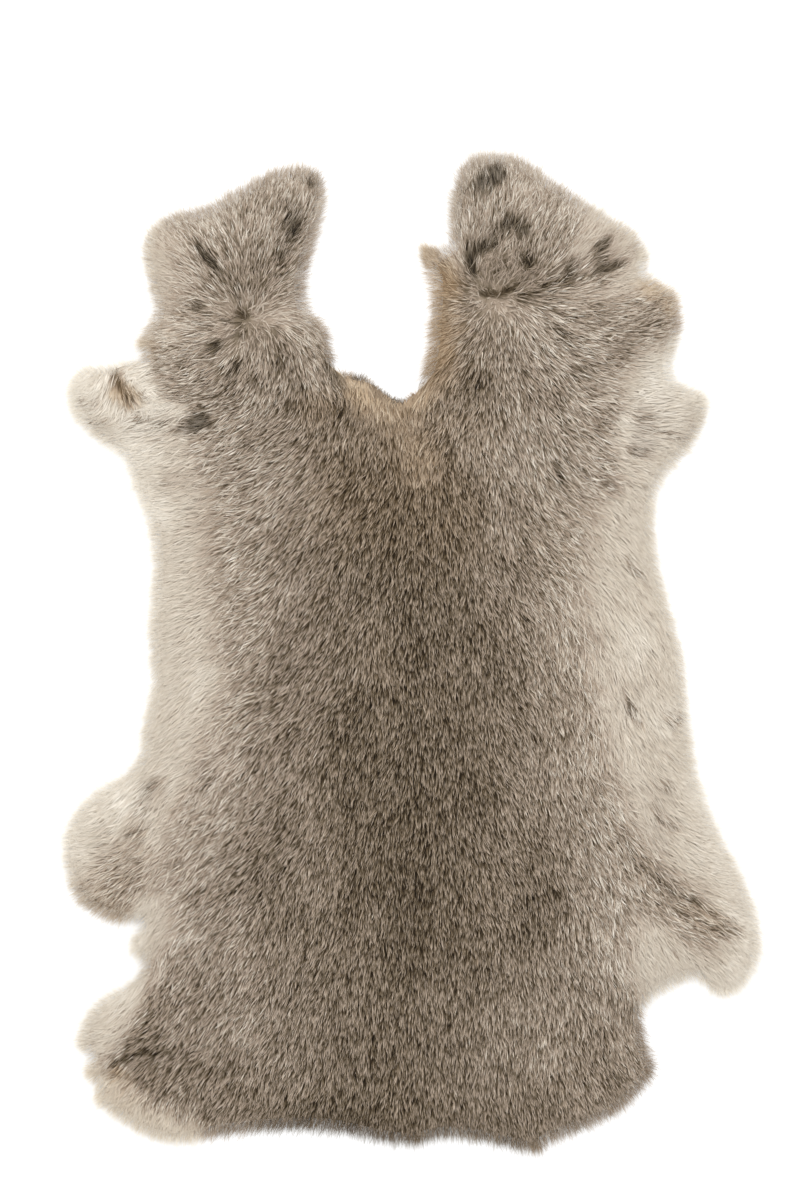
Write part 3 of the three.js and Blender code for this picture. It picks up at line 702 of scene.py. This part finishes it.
def cutPatch(pitch, inset, cutInset):
    # a grid cut to the pelt's outline, a little inside it, with its border drawn onto that line
    wide = fieldHigh[0] * 2
    long = fieldHigh[1] * 2
    patch = bmesh.new()
    bmesh.ops.create_grid(patch, x_segments=round(wide / pitch), y_segments=round(long / pitch), size=1)
    bmesh.ops.scale(patch, vec=(wide / 2, long / 2, 1), verts=patch.verts)
    room = edgeDepth - inset - (cutInset - inset) * nearCut
    inside = sample(room, *placesOf(patch.verts))
    stray = [v for v, depth in zip(patch.verts, inside) if depth < 0]
    bmesh.ops.delete(patch, geom=stray, context="VERTS")
    loose = [v for v in patch.verts if not v.link_faces]
    bmesh.ops.delete(patch, geom=loose, context="VERTS")
    bordering = [v for v in patch.verts if v.is_boundary]
    for _ in range(2):
        places = placesOf(bordering)
        for v, far, dx, dy in zip(bordering, sample(room, *places), *samplePair(slope, places)):
            v.co.x -= far * dx
            v.co.y -= far * dy
    return patch


def closeBelow(patch, floorHeight):
    # walls down to a flat foot, so the patch is a closed body
    grown = bmesh.ops.extrude_face_region(patch, geom=patch.faces[:])["geom"]
    foot = [part for part in grown if isinstance(part, bmesh.types.BMFace)]
    for v in {v for face in foot for v in face.verts}:
        v.co.z = floorHeight
    bmesh.ops.dissolve_faces(patch, faces=foot)
    bmesh.ops.triangulate(patch, faces=patch.faces)
    bmesh.ops.recalc_face_normals(patch, faces=patch.faces)


def addPiece(name, patch, finish):
    bmesh.ops.scale(patch, vec=(mm, mm, mm), verts=patch.verts)
    mesh = bpy.data.meshes.new(name)
    patch.to_mesh(mesh)
    patch.free()
    piece = bpy.data.objects.new(name, mesh)
    mesh.materials.append(finish)
    bpy.context.scene.collection.objects.link(piece)
    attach(piece, "root")
    return piece


skin = {"pitch": 4.0, "inset": 7.0, "cutInset": 0.9, "thickness": 1.2}


def makeSkin():
    patch = cutPatch(skin["pitch"], skin["inset"], skin["cutInset"])
    for v in patch.verts:
        v.co.z = skin["thickness"]
    closeBelow(patch, 0)
    return addPiece("skin", patch, suedeFinish)


skinPiece = makeSkin()

underfur = {
    "pitch": 2.1,
    "inset": 4.6,
    "cutInset": 1.4,
    "share": 0.74,       # of the CAD coat's height
    "foot": 1.25,        # rests on the skin
    "leastHeight": 0.4,
    "tuftHeight": 0.5,
    "tuftWidth": 3.2,
    "gapDepth": 1.6,     # of the hollows under the dark marks
    "toneDrop": 0.13,    # darker than the hair over it
    "gapDrop": 0.4,      # and darker again under the marks
    "contrast": 0.35,
}


def layBed():
    # the height that the hair's roots stand on, over each millimetre
    bed = surface * underfur["share"]
    bed += underfur["tuftHeight"] * softNoise(fieldX, fieldY, underfur["tuftWidth"], 7)
    bed -= underfur["gapDepth"] * gapField * smooth(edgeDepth / 12)
    lowBed = 0.5 + 1.2 * smooth((edgeDepth + 4) / 8)
    bed = np.where(edgeDepth > 0, np.maximum(bed, lowBed), lowBed)
    onPelt = smooth((edgeDepth + 6) / 6)
    return bed * onPelt + lowBed * (1 - onPelt)


bedField = layBed()


def colourAttribute(mesh, name, *parts):
    # up to three values a point, with 1 behind them
    values = np.ones((len(mesh.vertices), 4), np.float32)
    for number, part in enumerate(parts):
        values[:, number] = np.ravel(part)
    layer = mesh.attributes.new(name, "FLOAT_COLOR", "POINT")
    layer.data.foreach_set("color", values.ravel())


def makeUnderfur():
    patch = cutPatch(underfur["pitch"], underfur["inset"], underfur["cutInset"])
    for v, height in zip(patch.verts, sample(bedField, *placesOf(patch.verts))):
        v.co.z = max(height, underfur["foot"] + underfur["leastHeight"])
    closeBelow(patch, underfur["foot"])
    piece = addPiece("underfur", patch, underfurFinish)
    places = placesOf(piece.data.vertices) / mm
    tone = sample(toneField, *places)
    drop = underfur["toneDrop"] * smooth(sample(edgeDepth, *places) / 12)
    tone = tone - drop * (1.5 - tone) - underfur["gapDrop"] * sample(gapField, *places)
    colourAttribute(piece.data, "coatZone", tone, *samplePair((warmField, ashField), places))
    colourAttribute(piece.data, "strand", 0.5, underfur["contrast"])
    piece.data.polygons.foreach_set("use_smooth", np.ones(len(piece.data.polygons), bool))
    return piece


underfurPiece = makeUnderfur()
print("underfur:", len(underfurPiece.data.polygons), "triangles")

camera = {
    "over": (-4.55, 20.77),   # the middle of the photograph's frame
    "tall": 480,              # what the frame takes in, head end to tail end
    "lens": 100,
    "sensor": 36,
    "focusHeight": 4,
}
cameraHeight = camera["tall"] * camera["lens"] / camera["sensor"] + camera["focusHeight"]


def seenPlace(places, z):
    # where the camera sees a point, brought down to the height that the readings were made at
    over = np.array(camera["over"])[:, None]
    spread = (cameraHeight - camera["focusHeight"]) / (cameraHeight - z)
    return over + (places - over) * spread


guardHair = {
    "lockSpacing": 0.93,
    "hairsPerLock": 2,
    "length": (6.2, 9.0, 11.5),           # on the dark back, on the sides and in the cream
    "lengthSpread": (0.18, 0.12),         # from lock to lock and from hair to hair
    "width": 0.34,
    "widthSpread": 0.22,
    "widestAt": 0.6,
    "rise": (0.7, 2.6),                   # height of the tips over the underfur
    "gather": 0.75,                       # how far the tips of one lock draw together
    "rootSpread": 0.45,
    "turnSpread": (10, 17),               # degrees, lock to lock, on the back and the shoulder flaps
    "hairTurn": 7,                        # degrees from hair to hair
    "looseTurn": 30,                      # degrees more where the guides disagree
    "tangleTurn": 36,                     # and in the middle of a whirl
    "tangleShort": 0.46,                  # share of its length that hair loses in a whirl
    "tangleCalm": (0.5, 1.5),             # share of contrast lost there, and how much wider
    "tuftSpacing": 4.0,
    "tuftGather": (0.06, 0.2),
    "reachPast": (-3.4, 1.6, -6.4, 0.2),  # tips past the edge: middle, spread, least and most
    "reachPastCut": -0.4,
    "shortest": 1.3,
    "shoulderTone": (0.52, 0.12),         # where paler fur starts, and over what span
    "creamTone": (0.7, 0.12),
    "turnWaves": [(10, 8), (8, 3.6)],     # degrees and width of slow waves in the lie
    "darkLocks": (0.36, -1.45, 0.8, 0.4),  # share of them, their shade, the others', and its spread
    "lockShade": (0.098, -0.03),          # change of tone in dark fur, and what pale fur adds to it
    "hairShade": (0.064, 0.034),
    "gapShade": (0.32, 0.5),              # darker in a mark, and more so in pale fur
    "toneShift": -0.007,
    "toneLimits": (0.03, 0.97),
    "strips": ["furLeftFlank", "furLeftBack", "furSpine", "furRightBack", "furRightFlank"],
}


def hexPlaces(spacing, seed):
    # jittered hexagonal places over the whole field
    draw = np.random.default_rng(seed)
    rows = int((fieldHigh[1] - fieldLow[1]) / (spacing * 0.866))
    columns = int((fieldHigh[0] - fieldLow[0]) / spacing)
    j, i = np.mgrid[0:rows, 0:columns]
    x = fieldLow[0] + (i + 0.5 * (j % 2)) * spacing
    y = fieldLow[1] + j * spacing * 0.866
    x = x + draw.uniform(-0.42, 0.42, x.shape) * spacing
    y = y + draw.uniform(-0.42, 0.42, y.shape) * spacing
    return np.stack([x.ravel(), y.ravel()])


tuftCells = 140  # cells a side, enough for the whole field


def nearestTuft(places, spacing, seed):
    # each place takes the nearest of scattered tuft centres, one to a cell
    cells = np.random.default_rng(seed).uniform(0.1, 0.9, (tuftCells, tuftCells, 2))
    low = np.array(fieldLow)[:, None]
    best = np.full(places.shape[1], 1e9)
    bestPlace = np.zeros(places.shape)
    tuft = np.zeros(places.shape[1], int)
    cell = np.floor((places - low) / spacing).astype(int)
    for stepJ in (-1, 0, 1):
        for stepI in (-1, 0, 1):
            i, j = np.clip(cell + [[stepI], [stepJ]], 0, tuftCells - 1)
            centre = low + (np.stack([i, j]) + cells[j, i].T) * spacing
            away = (centre[0] - places[0]) ** 2 + (centre[1] - places[1]) ** 2
            nearer = away < best
            best = np.where(nearer, away, best)
            bestPlace = np.where(nearer, centre, bestPlace)
            tuft = np.where(nearer, j * tuftCells + i, tuft)
    return bestPlace, tuft


def growLocks():
    draw = np.random.default_rng(11)
    places = hexPlaces(guardHair["lockSpacing"], 12)
    places = places[:, sample(edgeDepth, *places) > 0.5]
    count = places.shape[1]
    tone = sample(toneField, *places)
    shoulder, cream = [
        smooth((tone - start) / span) for start, span in (guardHair["shoulderTone"], guardHair["creamTone"])
    ]
    calm, lively = guardHair["turnSpread"]
    turn = (calm + (lively - calm) * shoulder * (1 - cream)) * draw.standard_normal(count)
    for number, (degrees, wide) in enumerate(guardHair["turnWaves"]):
        turn += degrees * softNoise(*places, wide, 21 + number)
    firm = sample(combFirm, *places)
    tangle = tangled(places)
    loose = guardHair["looseTurn"] * (1 - firm) + guardHair["tangleTurn"] * tangle
    turn += loose * draw.standard_normal(count)
    way = turned(samplePair(combWay, places), turn)
    short, long, longest = guardHair["length"]
    length = short + (long - short) * shoulder + (longest - long) * cream
    length = length * np.clip(1 + guardHair["lengthSpread"][0] * draw.standard_normal(count), 0.6, 1.5)
    length = length * (0.7 + 0.3 * firm) * (1 - guardHair["tangleShort"] * tangle)
    places = places - way * length * 0.4 * (1 - firm)
    tuftPlace, tuft = nearestTuft(places, guardHair["tuftSpacing"], 13)
    least, most = guardHair["tuftGather"]
    darkShare, dark, pale, spread = guardHair["darkLocks"]
    tip = places + way * length
    tuftTip = tuftPlace + samplePair(combWay, tuftPlace) * short * 1.2
    return {
        "place": places, "way": way, "length": length,
        "tip": tip + (tuftTip - tip) * (least + (most - least) * shoulder),
        "shade": np.where(draw.uniform(0, 1, count) < darkShare, dark, pale)
        + spread * draw.standard_normal(count),
        "chance": draw.uniform(0, 1, count),
        "tuftShade": np.random.default_rng(14).standard_normal(tuftCells ** 2)[tuft],
        "rise": draw.uniform(*guardHair["rise"], count),
    }


def keepInside(root, tip, allowed):
    # shortens hair that would reach past the edge, and says by what share and which then fits
    share = np.ones(root.shape[1])
    for _ in range(12):
        over = -sample(edgeDepth, *(root + (tip - root) * share))
        share = np.where(over > allowed, share * 0.88, share)
    tip = root + (tip - root) * share
    return tip, share, -sample(edgeDepth, *tip) <= allowed + 0.3


def hairPoints(root, rootZ, tip, tipZ, width, widestAt, roll, keel=0.2):
    # four points for each hair: root, tip, and the two sides at its widest, below the keel between them
    root = np.stack([*root, rootZ], axis=1)
    tip = np.stack([*tip, tipZ], axis=1)
    axis = tip - root
    axis /= np.linalg.norm(axis, axis=1, keepdims=True)
    side = np.stack([-axis[:, 1], axis[:, 0], np.zeros(len(axis))], axis=1)
    side /= np.linalg.norm(side, axis=1, keepdims=True) + 1e-9
    over = np.cross(axis, side)
    cosine = np.cos(roll)[:, None]
    sine = np.sin(roll)[:, None]
    leaned = side * cosine + over * sine
    lifted = over * cosine - side * sine
    middle = root + (tip - root) * widestAt
    drop = lifted * (width * keel)[:, None]
    left = middle + leaned * (width / 2)[:, None] - drop
    right = middle - leaned * (width / 2)[:, None] - drop
    points = np.stack([root, tip, left, right], axis=1)
    points[:, :, 2] = np.maximum(points[:, :, 2], 0.25)
    return points


hairFaces = np.array([[0, 1, 2], [0, 3, 1], [2, 3, 0], [2, 1, 3]])
hairCell = np.array([  # where the four faces lie in one small cell of the texture map
    [[0.02, 0.5], [0.98, 0.5], [0.55, 0.98]],
    [[0.02, 0.5], [0.55, 0.02], [0.98, 0.5]],
    [[0.03, 0.97], [0.36, 0.97], [0.03, 0.62]],
    [[0.03, 0.38], [0.03, 0.03], [0.36, 0.03]],
])


def writeHair(name, pick, points, tone, warm, ash, contrast, widestAt):
    # the picked hairs as one mesh; tone has one value a point or one a hair
    count = len(pick)
    mesh = bpy.data.meshes.new(name)
    mesh.vertices.add(count * 4)
    mesh.vertices.foreach_set("co", (points[pick] * mm).astype(np.float32).ravel())
    corners = (np.arange(count)[:, None, None] * 4 + hairFaces).ravel().astype(np.int32)
    mesh.loops.add(len(corners))
    mesh.loops.foreach_set("vertex_index", corners)
    mesh.polygons.add(count * 4)
    mesh.polygons.foreach_set("loop_start", np.arange(count * 4, dtype=np.int32) * 3)
    mesh.update(calc_edges=True)
    mesh.shade_flat()
    across = math.ceil(math.sqrt(count))
    cell = np.stack([np.arange(count) % across, np.arange(count) // across], axis=1)
    spots = (hairCell[None] + cell[:, None, None, :]) / across
    layer = mesh.uv_layers.new(name="OFBake")
    layer.data.foreach_set("uv", spots.astype(np.float32).ravel())
    tone = np.clip(tone[pick].reshape(count, -1), *guardHair["toneLimits"]) * np.ones((count, 4))
    warm = np.repeat(np.clip(warm[pick], 0, 1), 4)
    ash = np.repeat(np.clip(ash[pick], 0, 1), 4)
    colourAttribute(mesh, "coatZone", tone, warm, ash)
    along = np.tile([0.0, 1.0, widestAt, widestAt], count)
    contrast = np.repeat(np.broadcast_to(contrast, len(points))[pick], 4)
    colourAttribute(mesh, "strand", along, contrast)
    piece = bpy.data.objects.new(name, mesh)
    mesh.materials.append(guardHairFinish)
    bpy.context.scene.collection.objects.link(piece)
    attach(piece, "root")
    print(name + ":", count * 4, "triangles")
    return piece


def growFur():
    locks = growLocks()
    draw = np.random.default_rng(15)
    lock = np.repeat(np.arange(len(locks["length"])), guardHair["hairsPerLock"])
    count = len(lock)
    far = guardHair["rootSpread"] * np.sqrt(draw.uniform(0, 1, count))
    angle = draw.uniform(0, 2 * math.pi, count)
    root = locks["place"][:, lock] + far * np.stack([np.cos(angle), np.sin(angle)])
    way = turned(locks["way"][:, lock], guardHair["hairTurn"] * draw.standard_normal(count))
    length = locks["length"][lock] * (1 + guardHair["lengthSpread"][1] * draw.standard_normal(count))
    gather = np.clip(guardHair["gather"] + 0.15 * draw.standard_normal(count), 0, 0.95)
    tip = root + way * length
    tip = tip + (locks["tip"][:, lock] - tip) * gather
    middle, spread, least, most = guardHair["reachPast"]
    allowed = np.clip(middle + spread * draw.standard_normal(count), least, most)
    allowed = np.where(sample(nearCut, *root) > 0.5, guardHair["reachPastCut"], allowed)
    tip, share, fits = keepInside(root, tip, allowed)
    fits &= (length * share > guardHair["shortest"]) & (sample(edgeDepth, *root) > 0.4)
    depth = sample(edgeDepth, *tip)
    rise = locks["rise"][lock] + 0.35 * draw.standard_normal(count)
    rise = np.clip(rise, 0.4, 4) * (0.25 + 0.75 * smooth((depth + 2) / 14))
    rootZ = sample(bedField, *root) - 0.35
    tipZ = sample(bedField, *tip) + rise
    sunk = sample(bedField, *((root + tip) / 2)) + 0.25 - (rootZ + tipZ) / 2
    rootZ = rootZ + np.maximum(sunk, 0)
    tipZ = tipZ + np.maximum(sunk, 0)
    thick = np.clip(1 + guardHair["widthSpread"] * draw.standard_normal(count), 0.5, 1.6)
    width = guardHair["width"] * thick * (1 - 0.6 * smooth(1 - depth / 8))
    seen = seenPlace(root + 0.72 * (tip - root), tipZ)
    tone = sample(toneField, *seen)
    warm, ash = samplePair((warmField, ashField), seen)
    pale = smooth((tone - 0.62) / 0.15)
    calmShare, wider = guardHair["tangleCalm"]
    calm = 1 - calmShare * np.maximum(tangled(seen, wider), 0.9 * smooth(warm / 0.8))
    roll = np.clip(draw.standard_normal(count) * (0.35 - 0.2 * pale), -0.9, 0.9)
    widestAt = guardHair["widestAt"]
    points = hairPoints(root, rootZ, tip, tipZ, width, widestAt, roll, keel=0.2 - 0.1 * pale)
    fine = smooth((tone - 0.5) / 0.1)
    lockShade = guardHair["lockShade"][0] + guardHair["lockShade"][1] * fine
    hairShade = guardHair["hairShade"][0] + guardHair["hairShade"][1] * fine
    tone = tone + (1 - 0.86 * pale) * calm * (
        lockShade * locks["shade"][lock]
        + hairShade * np.where(draw.uniform(0, 1, count) < 0.38, -1.4, 0.8)
        + 0.035 * np.clip(draw.standard_normal(count), -2, 2)
        + 0.015 * locks["tuftShade"][lock]
        + 0.02 * softNoise(*seen, 6, 31)
        + 0.012 * softNoise(*seen, 17, 33)
    )
    chance = 0.8 * locks["chance"][lock] + 0.2 * draw.uniform(0, 1, count)
    # painted light: hair within about 6 mm of the edge is made paler to offset the shade where the coat
    # slopes down to the floor
    tone = tone + 0.05 * smooth(1 - depth / 6) + guardHair["toneShift"]
    contrast = (1.35 - 0.8 * smooth((tone - 0.42) / 0.26) - 0.35 * pale) * calm
    warm = warm + 0.06 * draw.standard_normal(count)
    shade, paleShade = guardHair["gapShade"]
    darkened = (shade + paleShade * np.maximum(tone - 0.6, 0)) * draw.uniform(0.7, 1.15, count)
    alongHair = []
    for spot in (0.15, 1.0, widestAt, widestAt):
        mark = sample(gapField, *seenPlace(root + spot * (tip - root), tipZ))
        cover = smooth((mark - 0.8 * chance) / 0.28 + 0.5) * smooth(mark / 0.1)
        alongHair.append(tone - darkened * cover)
    tone = np.stack(alongHair, axis=1)
    order = np.nonzero(fits)[0]
    strip = np.searchsorted(np.quantile(root[0][order], [0.2, 0.4, 0.6, 0.8]), root[0][order])
    return [
        writeHair(name, order[strip == number], points, tone, warm, ash, contrast, widestAt)
        for number, name in enumerate(guardHair["strips"])
    ]


furPieces = growFur()

rimFuzz = {
    "everyMm": 0.053,
    "rootDepth": (1.5, 9.0),
    "reachMean": 2.25,
    "reachMost": 5.5,
    "length": (2, 9),
    "width": 0.12,
    "widestAt": 0.35,
    "turnSpread": 16,
    "contrast": 0.25,
    "notchTuft": (9.5, 148.5, 4),  # where it reaches furthest into the notch: x, y and how wide
}


def growFuzz():
    draw = np.random.default_rng(17)
    ends = np.roll(outline, -1, axis=0)
    spans = np.hypot(*(ends - outline).T)
    count = int(spans.sum() / rimFuzz["everyMm"])
    place = np.sort(draw.uniform(0, spans.sum(), count))
    start = np.concatenate([[0], np.cumsum(spans)])
    span = np.clip(np.searchsorted(start, place) - 1, 0, len(spans) - 1)
    along = (place - start[span]) / spans[span]
    on = (outline[span] + (ends[span] - outline[span]) * along[:, None]).T
    inward = unit(samplePair(slope, on))
    depth = draw.uniform(*rimFuzz["rootDepth"], count)
    root = on + inward * depth
    lay = samplePair(combWay, on)
    blend = 0.35 + 0.55 * smooth(-(lay * inward).sum(axis=0))
    way = -inward * (1 - blend) + lay * blend
    way = unit(way - inward * np.maximum(0, (way * inward).sum(axis=0) + 0.35))
    way = turned(way, rimFuzz["turnSpread"] * draw.standard_normal(count))
    away = np.maximum(-(way * inward).sum(axis=0), 0.3)
    reach = np.minimum(draw.exponential(rimFuzz["reachMean"], count), rimFuzz["reachMost"])
    *tuft, wide = rimFuzz["notchTuft"]
    nearTuft = smooth(1.3 - np.hypot(*(on.T - tuft - toRow).T) / wide)
    reach = reach + nearTuft * draw.uniform(1, 5, count)
    length = np.clip((depth + reach) / away, *rimFuzz["length"])
    tip, _, fits = keepInside(root, root + way * length, reach)
    fits &= sample(nearCut, *on) < 0.35
    rootZ = sample(bedField, *root) * draw.uniform(0.3, 0.95, count)
    tipZ = draw.uniform(0.4, 3.4, count)
    width = rimFuzz["width"] * draw.uniform(0.7, 1.3, count)
    roll = draw.uniform(-0.6, 0.6, count)
    points = hairPoints(root, rootZ, tip, tipZ, width, rimFuzz["widestAt"], roll)
    tone = sample(toneField, *root)
    # painted light: the fuzz is made paler, more so the further it reaches past the edge, and warmer below,
    # to offset the cool shade on the sloping rim and fade it into the white floor
    tone = tone + (0.05 + 0.05 * reach) * tone + 0.03 * draw.standard_normal(count)
    warm, ash = samplePair((warmField, ashField), root)
    return writeHair("rimFuzz", np.nonzero(fits)[0], points, tone, 0.15 + 0.85 * warm, ash,
                     rimFuzz["contrast"], rimFuzz["widestAt"])


fuzzPiece = growFuzz()

cutFringe = {
    "everyMm": 0.03,
    "strays": 0.22,          # share of the hairs that stand out past the cut
    "strayReach": (0.2, 1.8),
    "raggedLeft": -16,       # strays stand thicker and longer to the left of this
    "length": (2.2, 4.6),
    "width": 0.26,
    "widestAt": 0.45,
    "contrast": 0.3,
    "lineTone": 0.35,        # dark grey line of cut wool
}


def growFringe():
    # short wool that hides the skin's cut edge at the neck
    draw = np.random.default_rng(19)
    line = np.array(neckCut, float) + toRow
    start = np.concatenate([[0], np.cumsum(np.hypot(*np.diff(line, axis=0).T))])
    count = int(start[-1] / cutFringe["everyMm"])
    place = draw.uniform(0, start[-1], count)
    on = np.stack([np.interp(place, start, readings) for readings in line.T])
    inward = unit(samplePair(slope, on))
    raggedEnd = smooth((cutFringe["raggedLeft"] - on[0]) / 4)
    stray = draw.uniform(0, 1, count) < cutFringe["strays"] * (1 + raggedEnd)
    depth = np.where(stray, draw.uniform(0.8, 2.2, count), draw.uniform(-0.1, 1.6, count))
    root = on + inward * (depth - sample(edgeDepth, *on))
    way = np.where(stray, -inward, samplePair(combWay, on) + 0.5 * inward)
    way = turned(unit(way), np.where(stray, 38, 14) * draw.standard_normal(count))
    length = draw.uniform(*cutFringe["length"], count)
    over = draw.uniform(*cutFringe["strayReach"], count) * (1 + 1.1 * raggedEnd)
    tip = root + way * np.where(stray, depth + over, length)
    rootZ = sample(bedField, *root) + np.where(stray, -0.3, 0.1)
    tipZ = np.where(stray, draw.uniform(0.6, 2.6, count), sample(bedField, *tip) + 1.0)
    width = cutFringe["width"] * np.where(stray, 0.55, 1) * draw.uniform(0.7, 1.3, count)
    roll = draw.uniform(-0.5, 0.5, count)
    points = hairPoints(root, rootZ, tip, tipZ, width, cutFringe["widestAt"], roll)
    grey = smooth(1 - depth / 0.9) * (on[0] < 0) * (draw.uniform(0, 1, count) < 0.5)
    grey = np.where(stray, 0.7 * (on[0] < 0), grey) * smooth(0.75 + softNoise(*on, 4, 45))
    tone = sample(toneField, *on) + 0.04 * draw.standard_normal(count)
    tone = tone + (cutFringe["lineTone"] - tone) * grey
    warm = sample(warmField, *on) * (1 - 0.8 * grey)
    return writeHair("cutFringe", np.arange(count), points, tone, warm, 0.3 * grey,
                     cutFringe["contrast"], cutFringe["widestAt"])


fringePiece = growFringe()

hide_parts("pelt")
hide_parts("pelt")


def addStage():
    floor = bmesh.new()
    bmesh.ops.create_grid(floor, x_segments=1, y_segments=1, size=3)
    bmesh.ops.translate(floor, vec=(0, 0, -0.0002), verts=floor.verts)
    mesh = bpy.data.meshes.new("floor")
    floor.to_mesh(mesh)
    floor.free()
    piece = bpy.data.objects.new("floor", mesh)
    mesh.materials.append(newMaterial("paleFloor", {
        "Base Color": (0.92, 0.92, 0.92, 1), "Roughness": 0.9, "Specular IOR Level": 0.1})[0])
    bpy.context.scene.collection.objects.link(piece)


addStage()

studio = {
    "skyStrength": 0.96,
    "keySize": 1.4,
    "keyFrom": (-0.12, 0.75, 1.75),
    "keyPower": 22,
}


def addLights():
    world = bpy.data.worlds.new("studio")
    world.use_nodes = True
    sky = world.node_tree.nodes["Background"]
    sky.inputs["Color"].default_value = (1, 1, 1, 1)
    sky.inputs["Strength"].default_value = studio["skyStrength"]
    bpy.context.scene.world = world
    light = bpy.data.lights.new("key", "AREA")
    light.size = studio["keySize"]
    light.energy = studio["keyPower"]
    lamp = bpy.data.objects.new("key", light)
    lamp.location = studio["keyFrom"]
    lamp.rotation_euler = (-Vector(studio["keyFrom"])).to_track_quat("-Z", "Y").to_euler()
    bpy.context.scene.collection.objects.link(lamp)


def addCamera():
    lens = bpy.data.cameras.new("camera")
    lens.lens = camera["lens"]
    lens.sensor_width = camera["sensor"]
    lens.clip_end = 20
    view = bpy.data.objects.new("camera", lens)
    view.location = (camera["over"][0] * mm, camera["over"][1] * mm, cameraHeight * mm)
    bpy.context.scene.collection.objects.link(view)
    bpy.context.scene.camera = view


addLights()
addCamera()
bpy.context.scene.view_settings.view_transform = "Standard"
print("stage, lights and camera set")
